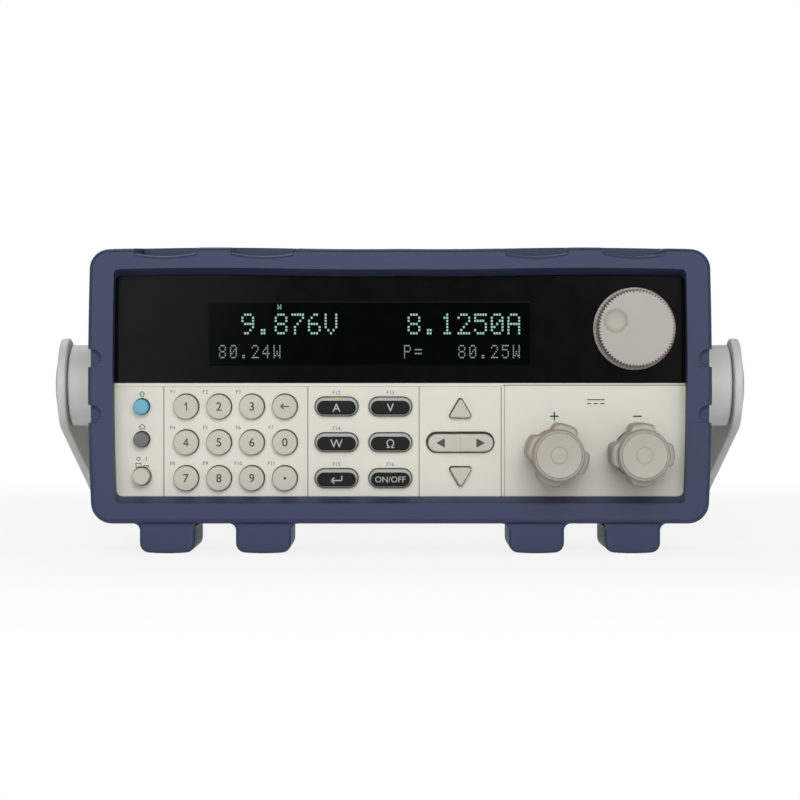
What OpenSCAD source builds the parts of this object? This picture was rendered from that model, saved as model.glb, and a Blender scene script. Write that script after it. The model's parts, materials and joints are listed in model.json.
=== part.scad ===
/* [Case] */
// Outer width of the sheet-metal case
case_w = 214.5; // [208:0.5:250]
// Outer height of the sheet-metal case
case_h = 88.2; // [86:0.2:104]
// Depth of the case from panel face to rear panel face
case_d = 354.6; // [330:0.2:420]
// Thickness of the case sheet
sheet_t = 1.2; // [0.8:0.1:1.8]
// Outer radius of the cover's bends
bend_r = 2; // [1.5:0.1:3]
// Thickness of the rear panel
rear_t = 1.5; // [1:0.1:2.5]
// Height of the tray's upturned side lips
tray_lip = 14; // [10:0.5:18]
// Width of one vent slot in the cover
vent_w = 3; // [2:0.5:4]
// Length of one vent slot in the cover
vent_l = 40; // [20:1:50]
// Spacing of the vent slots
vent_pitch = 8; // [6:0.5:12]

/* [Bumpers] */
// Wall of the bumpers outside the case
bumper_wall = 4.95; // [4:0.05:7]
// How far a bumper stands proud of the panel it frames
bumper_lip = 9; // [6:0.5:12]
// How far a bumper reaches back over the case
bumper_grip = 35; // [25:1:40]
// How far the bumper covers the panel at each side
cover_x = 4.25; // [3:0.25:6]
// How far the bumper covers the panel at top and bottom
cover_z = 4.5; // [3:0.25:6]
// Corner radius of the bumper outline
bumper_r = 7.1; // [5:0.1:10]
// Rounding of the bumper's front edge
bumper_edge = 3; // [1.5:0.25:4]
// Outward bow of the bumper's sides
bumper_bow = 0.8; // [0.2:0.1:2]
// Slope of the window edge at top and bottom
bevel_z = 2.2; // [1:0.1:3]
// Slope of the window edge at the sides
bevel_x = 0.8; // [0.4:0.1:2]
// Radius of the side scoops
scoop_r = 3.1; // [2:0.1:4]
// Depth of the side scoops behind the front face
scoop_d = 4; // [2:0.5:5]
// Spacing of the two scoops in one side
scoop_pitch = 19.9; // [14:0.1:26]
// Depth of the groove that runs back from each scoop
scoop_groove = 1; // [0.5:0.1:1.5]

/* [Feet] */
// Height of the feet below the bumper
foot_h = 10.7; // [9:0.1:16]
// Width of one foot
foot_w = 19.7; // [14:0.1:24]
// Distance of the inner feet from the middle
foot_inner_x = 48.7; // [40:0.1:55]
// Distance of the outer feet from the middle
foot_outer_x = 83; // [78:0.1:86]
// Rounding of the foot's lower corners
foot_r = 3; // [1:0.25:4]
// Fillet where the foot meets the bumper
foot_flare = 2.7; // [1:0.1:4]
// Extra width of a stacking pocket over a foot
pocket_play = 3.1; // [1:0.1:5]
// Depth of a stacking pocket at its middle
pocket_d = 2.9; // [1.5:0.1:3.5]
// Sag of the pocket's curved floor
pocket_sag = 1.3; // [0.5:0.1:1.4]

/* [Panel] */
// Thickness of the front bezel
bezel_t = 3.4; // [3:0.1:5]
// Visible height of the display lens
lens_h = 38.6; // [36:0.2:42]
// Thickness of the display lens
lens_t = 1.6; // [1:0.1:2]
// How far the lens lies behind the panel face
lens_drop = 0.6; // [0.2:0.1:0.8]
// Width of the display window
display_w = 116.1; // [90:0.1:120]
// Height of the display window
display_h = 23.1; // [18:0.1:26]
// Width of the divider grooves
groove_w = 0.5; // [0.3:0.1:0.8]
// Depth of the divider grooves
groove_d = 0.4; // [0.2:0.1:0.8]
// Gap round the input plate
plate_gap = 0.5; // [0.3:0.1:0.8]
// Visible width of the input plate
plate_w = 65.4; // [60:0.2:68]

/* [Keys] */
// Diameter of a number key
key_dia = 8.66; // [7:0.02:9.4]
// Spacing of the number keys across
key_pitch_x = 11.8; // [11.4:0.1:12.2]
// Spacing of the key rows
key_pitch_z = 12.85; // [11.5:0.05:13.2]
// Play between a key and its hole
key_play = 0.37; // [0.3:0.01:0.5]
// How far the keys stand proud of the panel
key_proud = 2.6; // [1.5:0.1:4]
// Travel of a key
key_travel = 1.2; // [0.6:0.1:1.6]
// Rounding of the key edges
key_edge = 0.7; // [0.3:0.1:1.2]
// Length of a function key
pill_w = 15.2; // [12:0.1:16]
// Height of a function key
pill_h = 6.5; // [5:0.1:8]
// Spacing of the function keys across
pill_pitch = 19.3; // [18.6:0.1:20.5]
// Width of an arrow key
arrow_w = 7.4; // [6:0.1:9]
// Height of an arrow key
arrow_h = 6.6; // [5:0.1:8]
// Length of the rocker key
rocker_w = 23.3; // [18:0.1:24.3]
// Height of the rocker key
rocker_h = 6.3; // [5:0.1:8]
// Tilt of the rocker to each side in degrees
rocker_tilt = 4; // [2:0.5:5]
// Diameter of the shift and local buttons
small_dia = 5.3; // [4:0.1:6]
// How far the shift and local buttons stand proud
small_proud = 4; // [2:0.1:6]
// Diameter of the power button
power_dia = 6.1; // [5:0.1:8]
// How far the power button stands proud
power_proud = 5; // [4.5:0.1:8]
// Travel of the power button
power_travel = 3; // [1.5:0.1:4]

/* [Tuning knob] */
// Diameter of the knob's skirt
skirt_dia = 29.7; // [24:0.1:34]
// Diameter over the knurl at the base
knurl_dia = 28.4; // [22:0.1:29]
// Ratio of the front of the knurl to its base
knurl_taper = 0.965; // [0.85:0.005:1]
// Number of teeth of the knurl
knurl_teeth = 72; // [48:2:110]
// Depth of the knurl
knurl_d = 1; // [0.2:0.1:1.2]
// Length of the knob
knob_l = 10.5; // [9.5:0.5:18]
// Diameter of the finger dimple
dimple_dia = 8.6; // [5:0.1:10]
// Depth of the finger dimple
dimple_d = 0.9; // [0.5:0.1:2]
// Distance of the finger dimple from the knob's axis
dimple_off = 7.9; // [6.5:0.1:8.5]
// Diameter of the encoder shaft
shaft_dia = 6; // [4:0.5:6.5]

/* [Terminals] */
// Spacing of the two terminals
post_pitch = 29.8; // [26:0.1:34]
// Diameter of the collars
collar_dia = 17.6; // [15:0.1:20]
// Height of the collars
collar_h = 3.5; // [2:0.1:5]
// Thickness of the clamp washers
clamp_t = 1; // [0.6:0.1:1.5]
// Diameter of the clamp washers
clamp_dia = 15; // [12:0.5:16]
// Length of the terminal knobs
post_l = 25.5; // [22:0.5:32]
// Diameter over the lobes of a terminal knob
lobe_dia = 23; // [19:0.1:24]
// Width of one lobe
lobe_w = 8; // [5:0.1:9]
// Diameter of a terminal knob's front cap
cap_dia = 16.8; // [13:0.1:17]
// Diameter of the terminal studs
stud_dia = 6; // [5:0.5:7]
// Screw travel of a terminal knob
post_travel = 4; // [2:0.5:6]
// Turn of the positive knob against the negative one
lobe_turn = 18; // [0:1:45]

/* [Handle] */
// Distance of the handle's pivot behind the panel face
pivot_d = 60; // [56:1:80]
// Radius from the pivot to the crossbar
handle_r = 150; // [130:1:160]
// Radius of the arms round the pivot
arm_r = 17.8; // [14:0.1:20]
// Thickness of the arms
arm_t = 6; // [4.5:0.1:8]
// Diameter of the crossbar
bar_dia = 12; // [10:0.1:12]
// Height of the crossbar above the table when stowed
bar_clear = 1.5; // [1:0.1:2]
// Diameter of the hubs
hub_dia = 30.7; // [24:0.1:34]
// Length of the hubs beside the case
hub_l = 17.95; // [12:0.05:22]
// Gap between hub and arm
hub_gap = 0.3; // [0.2:0.05:0.6]
// Diameter of the pivot screws
pivot_dia = 8; // [6:0.5:9]

/* [Rear] */
// Size of the square fan frame
fan_size = 70; // [60:1:72]
// Depth of the fan frame
fan_d = 25; // [20:1:30]
// Spacing of the fan's screws
fan_pitch = 61.5; // [52:0.5:62]
// Number of fan blades
fan_blades = 7; // [5:1:9]
// Width of the mains inlet's flange
inlet_w = 31; // [28:0.5:34]
// Height of the mains inlet's flange
inlet_h = 47; // [45:0.5:54]
// Travel of the fuse drawer
drawer_travel = 20; // [10:1:22]
// Number of sense terminals
sense_poles = 6; // [4:1:7]

/* [Hidden] */
$fn = 64;
// Overshoot of cutters past the face that they cut
over = 0.5;
// Radial play of turning fits, and of parts that are pressed or screwed together
run_play = 0.05;
seat_play = 0.02;
// Clearance of a drilled hole round a screw
drill_play = 0.15;

// Heights of the case and the window in the bumper
case_z0 = foot_h + bumper_wall;
case_z1 = case_z0 + case_h;
case_zc = (case_z0 + case_z1) / 2;
window_w = case_w - 2 * cover_x;
window_h = case_h - 2 * cover_z;
window_z0 = case_z0 + cover_z;
window_z1 = case_z1 - cover_z;
window_r = 2;
rear_edge = 1;
bevel_end = 3;
slab_t = 0.01;
foot_front = 1.5;
foot_rear = 2;
pocket_stop = 6;
vent_share = 0.4;
vent_rear = 16;
vent_rise = 4;
left_x = -window_w / 2;
right_x = window_w / 2;

// Depth is measured backwards from the panel face; the part is centred on its full depth
post_reach = collar_h + clamp_t + post_l;
face_y = (post_reach - case_d - bumper_lip) / 2;
function at(d) = face_y + d;

// Seats of the lens and the input plate
lens_z0 = window_z1 - lens_h;
seat_margin = 2.5;
edge_margin = 1;
lens_w = window_w + 2 * seat_margin;
lens_full_h = lens_h + seat_margin;
lens_zc = lens_z0 + lens_full_h / 2;
lens_back = lens_drop + lens_t;
display_in = 92.05;
display_rise = 17.85;
display_x = left_x + display_in;
display_z = lens_z0 + display_rise;
display_rim_x = 4;
display_rim_z = 3;
plate_left = right_x - plate_w;
plate_right = right_x + edge_margin;
plate_z0 = window_z0 - edge_margin;
plate_z1 = lens_z0 - edge_margin;
plate_flange = 1.5;
plate_flange_t = 1.5;
plate_flange_gap = 0.3;
tray_lip_d = bezel_t + plate_flange_t + plate_flange_gap;
post_rise = 15.45;
post_x = (plate_left + right_x) / 2;
post_z = window_z0 + post_rise;
plate_groove_x = plate_left - 2 * plate_gap - groove_w / 2;
ledge_drop = 1.1;
ledge_z = lens_z0 - ledge_drop;

// Fields beside the input plate, from left to right: buttons, number keys, function keys, arrow keys. Each is
// as wide as what it holds, plus its share of the width that is left over
rocker_play = 0.7;
button_pad = 11.36;
number_pad = 6.9;
pill_pad = 4.76;
arrow_pad = 6;
field_blocks = [
    power_dia + 2 * key_play,
    3 * key_pitch_x + key_dia + 2 * key_play,
    pill_pitch + pill_w + 2 * key_play,
    rocker_w + 2 * rocker_play,
];
field_pads = [button_pad, number_pad, pill_pad, arrow_pad];
function total(v, n) = n == 0 ? 0 : v[n - 1] + total(v, n - 1);
pad_share = (window_w - plate_w - total(field_blocks, 4)) / total(field_pads, 4);
field_ends = [for (n = [0:4]) left_x + total(field_blocks, n) + pad_share * total(field_pads, n)];
field_middles = [for (i = [0:3]) (field_ends[i] + field_ends[i + 1]) / 2];
divider_x = [for (i = [1:3]) field_ends[i]];

// Places of the keys
button_shift = 1.3;
arrow_shift = -0.65;
small_x = field_middles[0] + button_shift * pad_share;
number_x = field_middles[1] - key_pitch_x * 3 / 2;
pill_x = field_middles[2] - pill_pitch / 2;
arrow_x = field_middles[3] + arrow_shift * pad_share;
row_drop = 8.35;
function row_z(row) = lens_z0 - row_drop - row * key_pitch_z;
local_rise = 1.1;
power_rise = 0.7;
local_z = row_z(1) + local_rise;
power_z = row_z(2) + power_rise;
arrow_gap = 8.9;
arrow_r = 0.7;

// Depths of the key stack: flange, travel, mat, board
flange_gap = 0.2;
flange_t = 1;
flange_w = 0.9;
mat_gap = 0.3;
mat_t = 1.2;
board_t = 1.6;
key_back = bezel_t + flange_gap + flange_t;
mat_d = key_back + key_travel + mat_gap;
board_d = mat_d + mat_t;
board_back = board_d + board_t;
board_margin = 2;
rocker_lift = rocker_w / 2 * sin(rocker_tilt) + mat_gap;
rocker_front = min(bezel_t + rocker_lift, mat_d - 2 * mat_gap);
pivot_rib = 0.8;
pivot_rib_inset = 0.5;
pivot_rib_d = mat_d - flange_gap / 2 - pivot_rib;
power_back = mat_d - power_travel - mat_gap;
stem_r = 1.8;
stem_room = 1.2;
stem_hole_r = stem_r + stem_room;
stem_l = 9;
boss_r = 2.5;
boss_x = 6;
boss_knob_x = 38;
boss_drop = 4.5;
boss_rise = 5.5;
boss_high = window_z1 - boss_drop;
boss_low = lens_z0 + boss_rise;
boss_places = [
    [left_x + boss_x, boss_high],
    [right_x - boss_x, boss_high],
    [left_x + boss_x, boss_low],
    [right_x - boss_knob_x, boss_low],
];
switch_size = 11;
switch_l = 24;

// Tuning knob and encoder
knob_in = 18.9;
knob_rise = 19.55;
knob_x = right_x - knob_in;
knob_z = lens_z0 + knob_rise;
knob_gap = 0.8;
knob_back = lens_drop - knob_gap;
skirt_t = 1.4;
shaft_r = shaft_dia / 2;
bushing_wall = 1.5;
bushing_r = shaft_r + bushing_wall;
bushing_reach = 4;
nut_wall = 2;
nut_flat_r = bushing_r + nut_wall;
nut_t = 2;
nut_room = 1.2;
nut_cavity_r = nut_flat_r + nut_room;
nut_cavity_d = bushing_reach + nut_room / 2;
knob_front_t = 3.5;
shaft_end = knob_l - knob_front_t;
encoder_size = 13.5;
dimple_angle = 161;

// Terminals
stud_r = stud_dia / 2;
stud_grip = 12;
stud_in = post_travel + stud_grip;
stud_back = 16;
stud_nut_t = 5;
stud_nut_wall = 2.8;
stud_nut_r = stud_r + stud_nut_wall;
spigot_wall = 2;
spigot_r = stud_r + spigot_wall;
collar_edge = 0.6;
core_flare = 0.6;
core_base_r = cap_dia / 2 + core_flare;
lobe_front = 0.82;
lobe_l = 0.78;
cap_edge = 1.6;

// Handle
pivot_z = case_zc;
arm_x = case_w / 2 + hub_l + hub_gap;
bar_z = bar_clear + bar_dia / 2;
bar_r = bar_dia / 2;
bar_shoulder = 0.5;
arm_end_r = bar_r + bar_shoulder;
bar_root = arm_t / 2;
stow_angle = asin((pivot_z - bar_z) / handle_r);
bar_y = at(pivot_d) + handle_r * cos(stow_angle);
tangent_angle = asin((arm_r - arm_end_r) / handle_r);
tangent_bite = 0.03;
hub_neck_l = 1.5;
hub_step = 2;
hub_neck_r = hub_dia / 2 - hub_step;
pivot_r = pivot_dia / 2;
pivot_head_rim = 3;
pivot_head_r = pivot_r + pivot_head_rim;
pivot_head_t = 2;
pivot_head_play = 0.4;
pivot_seat = 0.1;
pivot_tail = 1;
pivot_nut_t = 4;
pivot_nut_wall = 2.6;
pivot_nut_r = pivot_r + pivot_nut_wall;

// Screws
screw_r = 1.5;
screw_head_r = 2.8;
screw_head_t = 1.6;
screw_l = 7;
screw_cross = 0.7;
screw_cross_d = 0.8;
tray_screw_z = case_z0 + tray_lip / 2;
bumper_span = case_d - 2 * bumper_grip;
tray_screw_d = [for (share = [0.08, 0.5, 0.92]) bumper_grip + bumper_span * share];
rear_tab_w = 10;
rear_screw_in = 5;
rear_screw_drop = 9.5;
rear_screw_x = right_x - rear_screw_in;
rear_screw_rise = window_h / 2 - rear_screw_drop;

// Rear panel layout
inside_w = case_w - 2 * sheet_t;
tray_top = case_z0 + sheet_t;
cover_under = case_z1 - sheet_t;
rear_in = case_d - rear_t;
fan_in = 8.5;
fan_wall = 2;
fan_x = right_x - fan_in - fan_size / 2;
fan_bore = fan_size / 2 - fan_wall;
fan_r = 3;
fan_hub = 15;
fan_hub_edge = 1.5;
fan_play = 1;
fan_gap = 0.3;
fan_end_gap = 2;
fan_shaft_r = 1.5;
fan_shaft_in = 2;
fan_back_t = 4;
fan_strut_w = 4;
blade_t = 1.2;
blade_lean = 53;
blade_inset = 0.6;
grille_step = 6;
grille_bar = 2;
inlet_in = 25;
inlet_x = left_x + inlet_in;
inlet_r = 2;
inlet_flange_t = 2.5;
inlet_body_d = 26;
inlet_rim = 2;
inlet_body_w = inlet_w - 2 * inlet_rim;
inlet_body_h = inlet_h - 2 * inlet_rim;
inlet_mouth_w = 24.4;
inlet_mouth_h = 16.4;
inlet_mouth_d = 17;
inlet_mouth_drop = 9.5;
inlet_mouth_z = case_zc - inlet_mouth_drop;
inlet_mouth_cut = 4;
pin_x = 7;
pin_z = 2;
pin_l = 10.5;
pin_t = 2;
pin_w = 4;
drawer_w = 21;
drawer_h = 9;
upper_rise = 14;
drawer_z = case_zc + upper_rise;
drawer_hold = 1;
drawer_d = drawer_travel + drawer_hold;
drawer_wall = 2;
drawer_side = 1.5;
drawer_face_t = 1.6;
drawer_play = 0.3;
serial_x = -8;
usb_x = -42;
port_z = case_zc + upper_rise;
serial_w = 25;
serial_h = 11;
serial_ear = 3.5;
serial_rim = 1;
serial_r = 1.5;
serial_shell_w = 18;
serial_shell_h = 8.5;
usb_size = 12.5;
usb_mouth_w = 9;
usb_mouth_h = 8.4;
usb_tongue_w = 5.6;
usb_tongue_h = 3.2;
usb_mouth_d = 6;
port_flange = 1;
port_proud = 6;
port_in = 12;
sense_x = -26;
sense_z = case_zc - upper_rise;
sense_pitch = 7.5;
sense_h = 12;
sense_proud = 7;
sense_in = 8;
sense_wire_w = 5;
sense_wire_h = 4.6;
sense_wire_drop = 2.4;
sense_wire_d = 6;
sense_screw_r = 1.8;
sense_screw_z = 3;
sense_screw_d = 3;
sense_end = 1.5;
sense_w = sense_poles * sense_pitch + 2 * sense_end;

// Inside
sink_x0 = 26;
sink_base = 7;
sink_fin_t = 2.2;
sink_fins = 9;
sink_d0 = 120;
sink_fan_gap = 12;
sink_side_gap = 8;
sink_top_gap = 10;
sink_d1 = case_d - rear_t - fan_d - sink_fan_gap;
sink_w = right_x - sink_side_gap - sink_x0;
sink_h = case_h - 2 * sheet_t - sink_top_gap;
transistor_w = 16;
transistor_h = 21;
transistor_t = 5;
transistor_rise = 24;
transistor_n = 5;
pcb_in = 6;
pcb_x0 = left_x + pcb_in;
pcb_w = 112;
pcb_d0 = 50;
pcb_d1 = 236;
standoff_h = 7;
standoff_r = 3;
standoff_inset = 6;
capacitor_r = 11;
capacitor_h = 32;
capacitor_edge = 1;
capacitor_places = [[22, 60], [22, 92], [50, 76]];
chip_place = [70, 110];
chip_size = [24, 24, 3];
core_w = 72;
core_l = 36;
core_h = 60;
core_leg = 24;
core_window_w = 12;
core_yoke = 12;
transformer_in = 62;
transformer_gap = 9;
transformer_x = left_x + transformer_in;
transformer_d = rear_in - inlet_body_d - core_l - transformer_gap;
winding_play = 0.4;
winding_fit = 0.1;
winding_t = 11;

STATIC = [
    "chassis_tray", "top_cover", "rear_panel", "front_bumper", "rear_bumper", "front_bezel",
    "display_lens", "display_module", "input_plate", "keypad_mat", "keypad_board", "rotary_encoder",
    "power_switch", "positive_collar", "negative_collar", "terminal_studs", "pivot_hubs", "pivot_screws",
    "case_screws", "heatsink", "power_transistors", "main_board", "transformer", "fan_frame",
    "mains_inlet", "interface_ports", "sense_terminals",
];
MOVING = [
    "carry_handle", "tuning_knob", "encoder_shaft", "positive_washer", "negative_washer",
    "positive_terminal_knob", "negative_terminal_knob", "fan_rotor", "fuse_drawer",
    "shift_button", "local_button", "power_button", "up_key", "down_key", "left_right_rocker",
];
NUMBER_KEYS = [
    ["key_1", "key_2", "key_3", "key_escape"],
    ["key_4", "key_5", "key_6", "key_0"],
    ["key_7", "key_8", "key_9", "key_point"],
];
PILL_KEYS = [
    ["current_key", "voltage_key"],
    ["watt_key", "resistance_key"],
    ["enter_key", "on_off_key"],
];

// Stands a shape on the panel: its own Z points out of the panel, its own Y points up
module facing(x, z, d) {
    translate([x, at(d), z]) rotate([90, 0, 0]) children();
}

// Extrudes a flat shape, drawn in X and Z, between two depths
module span(d0, d1) {
    translate([0, at(d1), 0]) rotate([90, 0, 0]) linear_extrude(d1 - d0) children();
}

// Stands a shape on a rear face: its own Z points backwards
module rearward(x, z, d) {
    translate([x, at(d), z]) rotate([-90, 0, 0]) children();
}

// Lays a shape across the case: its own Z points to +X, its own X backwards, its own Y up
module across(x, y, z) {
    translate([x, y, z]) rotate([90, 0, 90]) children();
}

// Makes a child on the right and its mirror image on the left
module both_sides() {
    children();
    mirror([1, 0, 0]) children();
}

// Convex outline with one radius round each corner centre, given anticlockwise
module rounded(centres, r) {
    n = len(centres);
    sides = [for (i = [0:n - 1]) let (a = centres[i], b = centres[(i + 1) % n], u = (b - a) / norm(b - a),
        out = r * [u[1], -u[0]]) each [a + out, b + out]];
    polygon(sides);
    for (c = centres) translate(c) circle(r);
}

module rounded_rect(w, h, r) {
    x = w / 2 - r;
    z = h / 2 - r;
    rounded([[-x, -z], [x, -z], [x, z], [-x, z]], r);
}

// Upright rectangle with its two upper corners rounded
module arch(w, z0, z1, r) {
    translate([-w / 2, z0]) square([w, z1 - z0 - r]);
    translate([r - w / 2, z0]) square([w - 2 * r, z1 - z0]);
    for (x = [-1, 1]) translate([x * (w / 2 - r), z1 - r]) circle(r);
}

module pill(w, h) {
    x = (w - h) / 2;
    rounded([[-x, 0], [x, 0]], h / 2);
}

// Triangle that points up, with rounded corners, its base on the X axis, grown evenly by a margin
module arrow(w, h, r, grow) {
    low = w / 2 - r;
    rounded([[-low, r], [low, r], [0, h - r]], r + grow);
}

// Cylinder with its far edge rounded
module rounded_plug(r, h, edge) {
    rotate_extrude() {
        square([r - edge, h]);
        square([r, h - edge]);
        translate([r - edge, h - edge]) intersection() {
            circle(edge);
            square(edge);
        }
    }
}

module ring(r_out, r_in, h) {
    difference() {
        cylinder(r = r_out, h = h);
        translate([0, 0, -over]) cylinder(r = r_in, h = h + 2 * over);
    }
}

// Pan head screw, its head outside and its shank pointing into the part
module screw() {
    difference() {
        rounded_plug(screw_head_r, screw_head_t, screw_head_t / 2);
        translate([0, 0, screw_head_t]) for (turn = [0, 90])
            rotate(turn) cube([screw_head_r * 1.2, screw_cross, 2 * screw_cross_d], center = true);
    }
    translate([0, 0, -screw_l]) cylinder(r = screw_r, h = screw_l);
}

// Bumpers

// Bumper outline pulled in by an inset, with its sides bowed outwards
function bumper_outline(inset) =
    let (w = case_w / 2 + bumper_wall - inset, h = case_h / 2 + bumper_wall - inset, r = bumper_r - inset,
        corner = [for (a = [0:11.25:90]) [w - r + r * cos(a), h - r + r * sin(a)]],
        lower = [for (i = [len(corner) - 1:-1:0]) [corner[i][0], -corner[i][1]]],
        flank = [for (i = [-2:2]) [w, (h - r) * i / 3]],
        right = concat(lower, flank, corner))
    [for (p = concat(right, -right)) [p[0] - sign(p[0]) * bumper_bow * pow(p[1] / h, 2), p[1]]];

module bumper_slab(d, inset) {
    translate([0, 0, case_zc]) span(d, d + slab_t) polygon(bumper_outline(inset));
}

// One foot, drawn in X and Z round its own middle
module foot_outline() {
    top = foot_h + bumper_wall / 2;
    x = foot_w / 2;
    translate([0, foot_r]) rounded([[foot_r - x, 0], [x - foot_r, 0]], foot_r);
    translate([-x, foot_r]) square([foot_w, top - foot_r]);
    for (side = [-1, 1]) translate([side * x, foot_h]) difference() {
        translate([side * foot_flare / 2, 0]) square([foot_flare, 2 * foot_flare], center = true);
        translate([side * foot_flare, -foot_flare]) circle(foot_flare);
    }
}

// One stacking pocket, drawn in X and Z, its curved floor lowest at the middle
module pocket_outline() {
    w = foot_w + pocket_play;
    r = (pow(w / 2, 2) + pow(pocket_sag, 2)) / (2 * pocket_sag);
    z = case_z1 + bumper_wall - pocket_d;
    intersection() {
        translate([-w / 2, z - over]) square([w, pocket_d + 2 * over + bumper_wall]);
        translate([0, z + r]) circle(r, $fn = 256);
    }
}

module bumper() {
    foot_x = [-foot_outer_x, -foot_inner_x, foot_inner_x, foot_outer_x];
    side_x = case_w / 2 + bumper_wall;
    difference() {
        union() {
            hull() {
                for (a = [0:22.5:90])
                    bumper_slab(bumper_edge * (1 - cos(a)) - bumper_lip, bumper_edge * (1 - sin(a)));
                bumper_slab(bumper_grip - rear_edge, 0);
                bumper_slab(bumper_grip - slab_t, rear_edge);
            }
            for (x = foot_x) translate([x, 0, 0]) span(foot_front - bumper_lip, bumper_grip - foot_rear)
                foot_outline();
        }
        translate([-case_w / 2, at(0), case_z0]) cube([case_w, bumper_grip + over, case_h]);
        translate([0, 0, case_zc]) span(-bumper_lip - over, over)
            rounded_rect(window_w, window_h, window_r);
        hull() {
            translate([0, 0, case_zc]) span(-bumper_lip - slab_t, -bumper_lip)
                rounded_rect(window_w + 2 * bevel_x, window_h + 2 * bevel_z, window_r + bevel_x, $fn = 32);
            translate([0, 0, case_zc]) span(-bevel_end, slab_t - bevel_end)
                rounded_rect(window_w, window_h, window_r, $fn = 32);
        }
        for (x = foot_x) translate([x, 0, 0]) span(-bumper_lip - over, bumper_grip - pocket_stop)
            pocket_outline();
        both_sides() for (side = [-1, 1]) {
            z = case_zc + side * scoop_pitch / 2;
            facing(side_x, z, scoop_d - bumper_lip) cylinder(r = scoop_r, h = scoop_d + over);
            translate([side_x - scoop_groove, at(-bumper_lip - over), z - scoop_r])
                cube([2 * bumper_wall, bumper_lip + bumper_grip + 2 * over, 2 * scoop_r]);
        }
    }
}

module front_bumper() {
    color("#4a5470") bumper();
}

module rear_bumper() {
    color("#4a5470") translate([0, 2 * at(case_d / 2), 0]) mirror([0, 1, 0]) bumper();
}

// Case

module tray_screw_places() {
    for (d = tray_screw_d) translate([case_w / 2, at(d), tray_screw_z]) rotate([0, 90, 0]) children();
}

module rear_screw_places() {
    for (x = [-1, 1], z = [-1, 1])
        rearward(x * rear_screw_x, case_zc + z * rear_screw_rise, case_d) children();
}

module fan_screw_places() {
    for (x = [-1, 1], z = [-1, 1])
        rearward(fan_x + x * fan_pitch / 2, case_zc + z * fan_pitch / 2, case_d) children();
}

module screw_hole() {
    translate([0, 0, -screw_l - over]) cylinder(r = screw_r + drill_play, h = screw_l + 2 * over);
}

module standoff_places() {
    for (x = [standoff_inset, pcb_w - standoff_inset],
        d = [pcb_d0 + standoff_inset, pcb_d1 - standoff_inset])
        translate([pcb_x0 + x, at(d), tray_top]) children();
}

module chassis_tray() {
    color("#b9bcbe") difference() {
        union() {
            translate([-inside_w / 2, at(bezel_t), case_z0]) cube([inside_w, case_d - bezel_t, sheet_t]);
            both_sides() {
                translate([inside_w / 2 - sheet_t, at(tray_lip_d), case_z0])
                    cube([sheet_t, rear_in - tray_lip_d, tray_lip]);
                translate([inside_w / 2 - rear_tab_w, at(rear_in - sheet_t), case_z0])
                    cube([rear_tab_w, sheet_t, case_h - 3 * sheet_t]);
            }
            standoff_places() cylinder(r = standoff_r, h = standoff_h);
        }
        both_sides() tray_screw_places() screw_hole();
        rear_screw_places() screw_hole();
    }
}

module vent_slots() {
    n = floor(bumper_span * vent_share / vent_pitch);
    first = case_d - bumper_grip - vent_rear - (n - 1) * vent_pitch;
    for (i = [0:n - 1]) across(case_w / 2 - 2 * sheet_t, at(first + i * vent_pitch), case_zc + vent_rise)
        linear_extrude(3 * sheet_t) rotate(90) pill(vent_l, vent_w);
}

module top_cover() {
    color("#c9cac4") difference() {
        span(bezel_t, case_d) arch(case_w, case_z0, case_z1, bend_r);
        span(bezel_t - over, case_d + over) arch(inside_w, case_z0 - over, cover_under, bend_r - sheet_t);
        both_sides() {
            vent_slots();
            tray_screw_places() screw_hole();
            across(inside_w / 2 - over, at(pivot_d), pivot_z)
                cylinder(r = pivot_r + drill_play, h = sheet_t + 2 * over);
        }
    }
}

// Punched rings with four bars left standing across them
module grille_slots() {
    n = floor((fan_bore - fan_hub / 2) / grille_step);
    for (i = [0:n - 1]) difference() {
        circle(fan_bore - i * grille_step);
        circle(fan_bore - (i + 1) * grille_step + grille_bar);
        for (turn = [0, 90]) rotate(turn + 45) square([2 * fan_size, 2 * grille_bar], center = true);
    }
}

module rear_panel() {
    color("#c4c6c3") difference() {
        span(rear_in, case_d) arch(inside_w, tray_top, cover_under, bend_r);
        rearward(fan_x, case_zc, rear_in - over) linear_extrude(rear_t + 2 * over) grille_slots();
        translate([inlet_x, 0, case_zc]) span(rear_in - over, case_d + over)
            square([inlet_body_w, inlet_body_h] + 2 * drill_play * [1, 1], center = true);
        translate([serial_x, 0, port_z]) span(rear_in - over, case_d + over) pill(serial_w, serial_h);
        translate([usb_x, 0, port_z]) span(rear_in - over, case_d + over) square(usb_size, center = true);
        translate([sense_x, 0, sense_z]) span(rear_in - over, case_d + over)
            square([sense_w, sense_h] + 2 * drill_play * [1, 1], center = true);
        rear_screw_places() screw_hole();
        fan_screw_places() screw_hole();
    }
}

module case_screws() {
    color("#8d9094") {
        both_sides() tray_screw_places() screw();
        rear_screw_places() screw();
        fan_screw_places() screw();
    }
}

// Front panel

module at_number_key(col, row) {
    translate([number_x + col * key_pitch_x, row_z(row)]) children();
}

module at_pill_key(col, row) {
    translate([pill_x + col * pill_pitch, row_z(row)]) children();
}

module arrow_outline(grow, up) {
    translate([arrow_x, row_z(1)]) rotate(up ? 0 : 180)
        translate([0, arrow_gap]) arrow(arrow_w, arrow_h, arrow_r, grow);
}

module key_openings() {
    for (col = [0:3], row = [0:2]) at_number_key(col, row) circle(key_dia / 2 + key_play);
    for (col = [0:1], row = [0:2]) at_pill_key(col, row) pill(pill_w + 2 * key_play, pill_h + 2 * key_play);
    arrow_outline(key_play, true);
    arrow_outline(key_play, false);
    translate([arrow_x, row_z(1)]) pill(rocker_w + 2 * rocker_play, rocker_h + 2 * rocker_play);
    translate([small_x, row_z(0)]) circle(small_dia / 2 + key_play);
    translate([small_x, local_z]) circle(small_dia / 2 + key_play);
    translate([small_x, power_z]) circle(power_dia / 2 + key_play);
}

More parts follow.
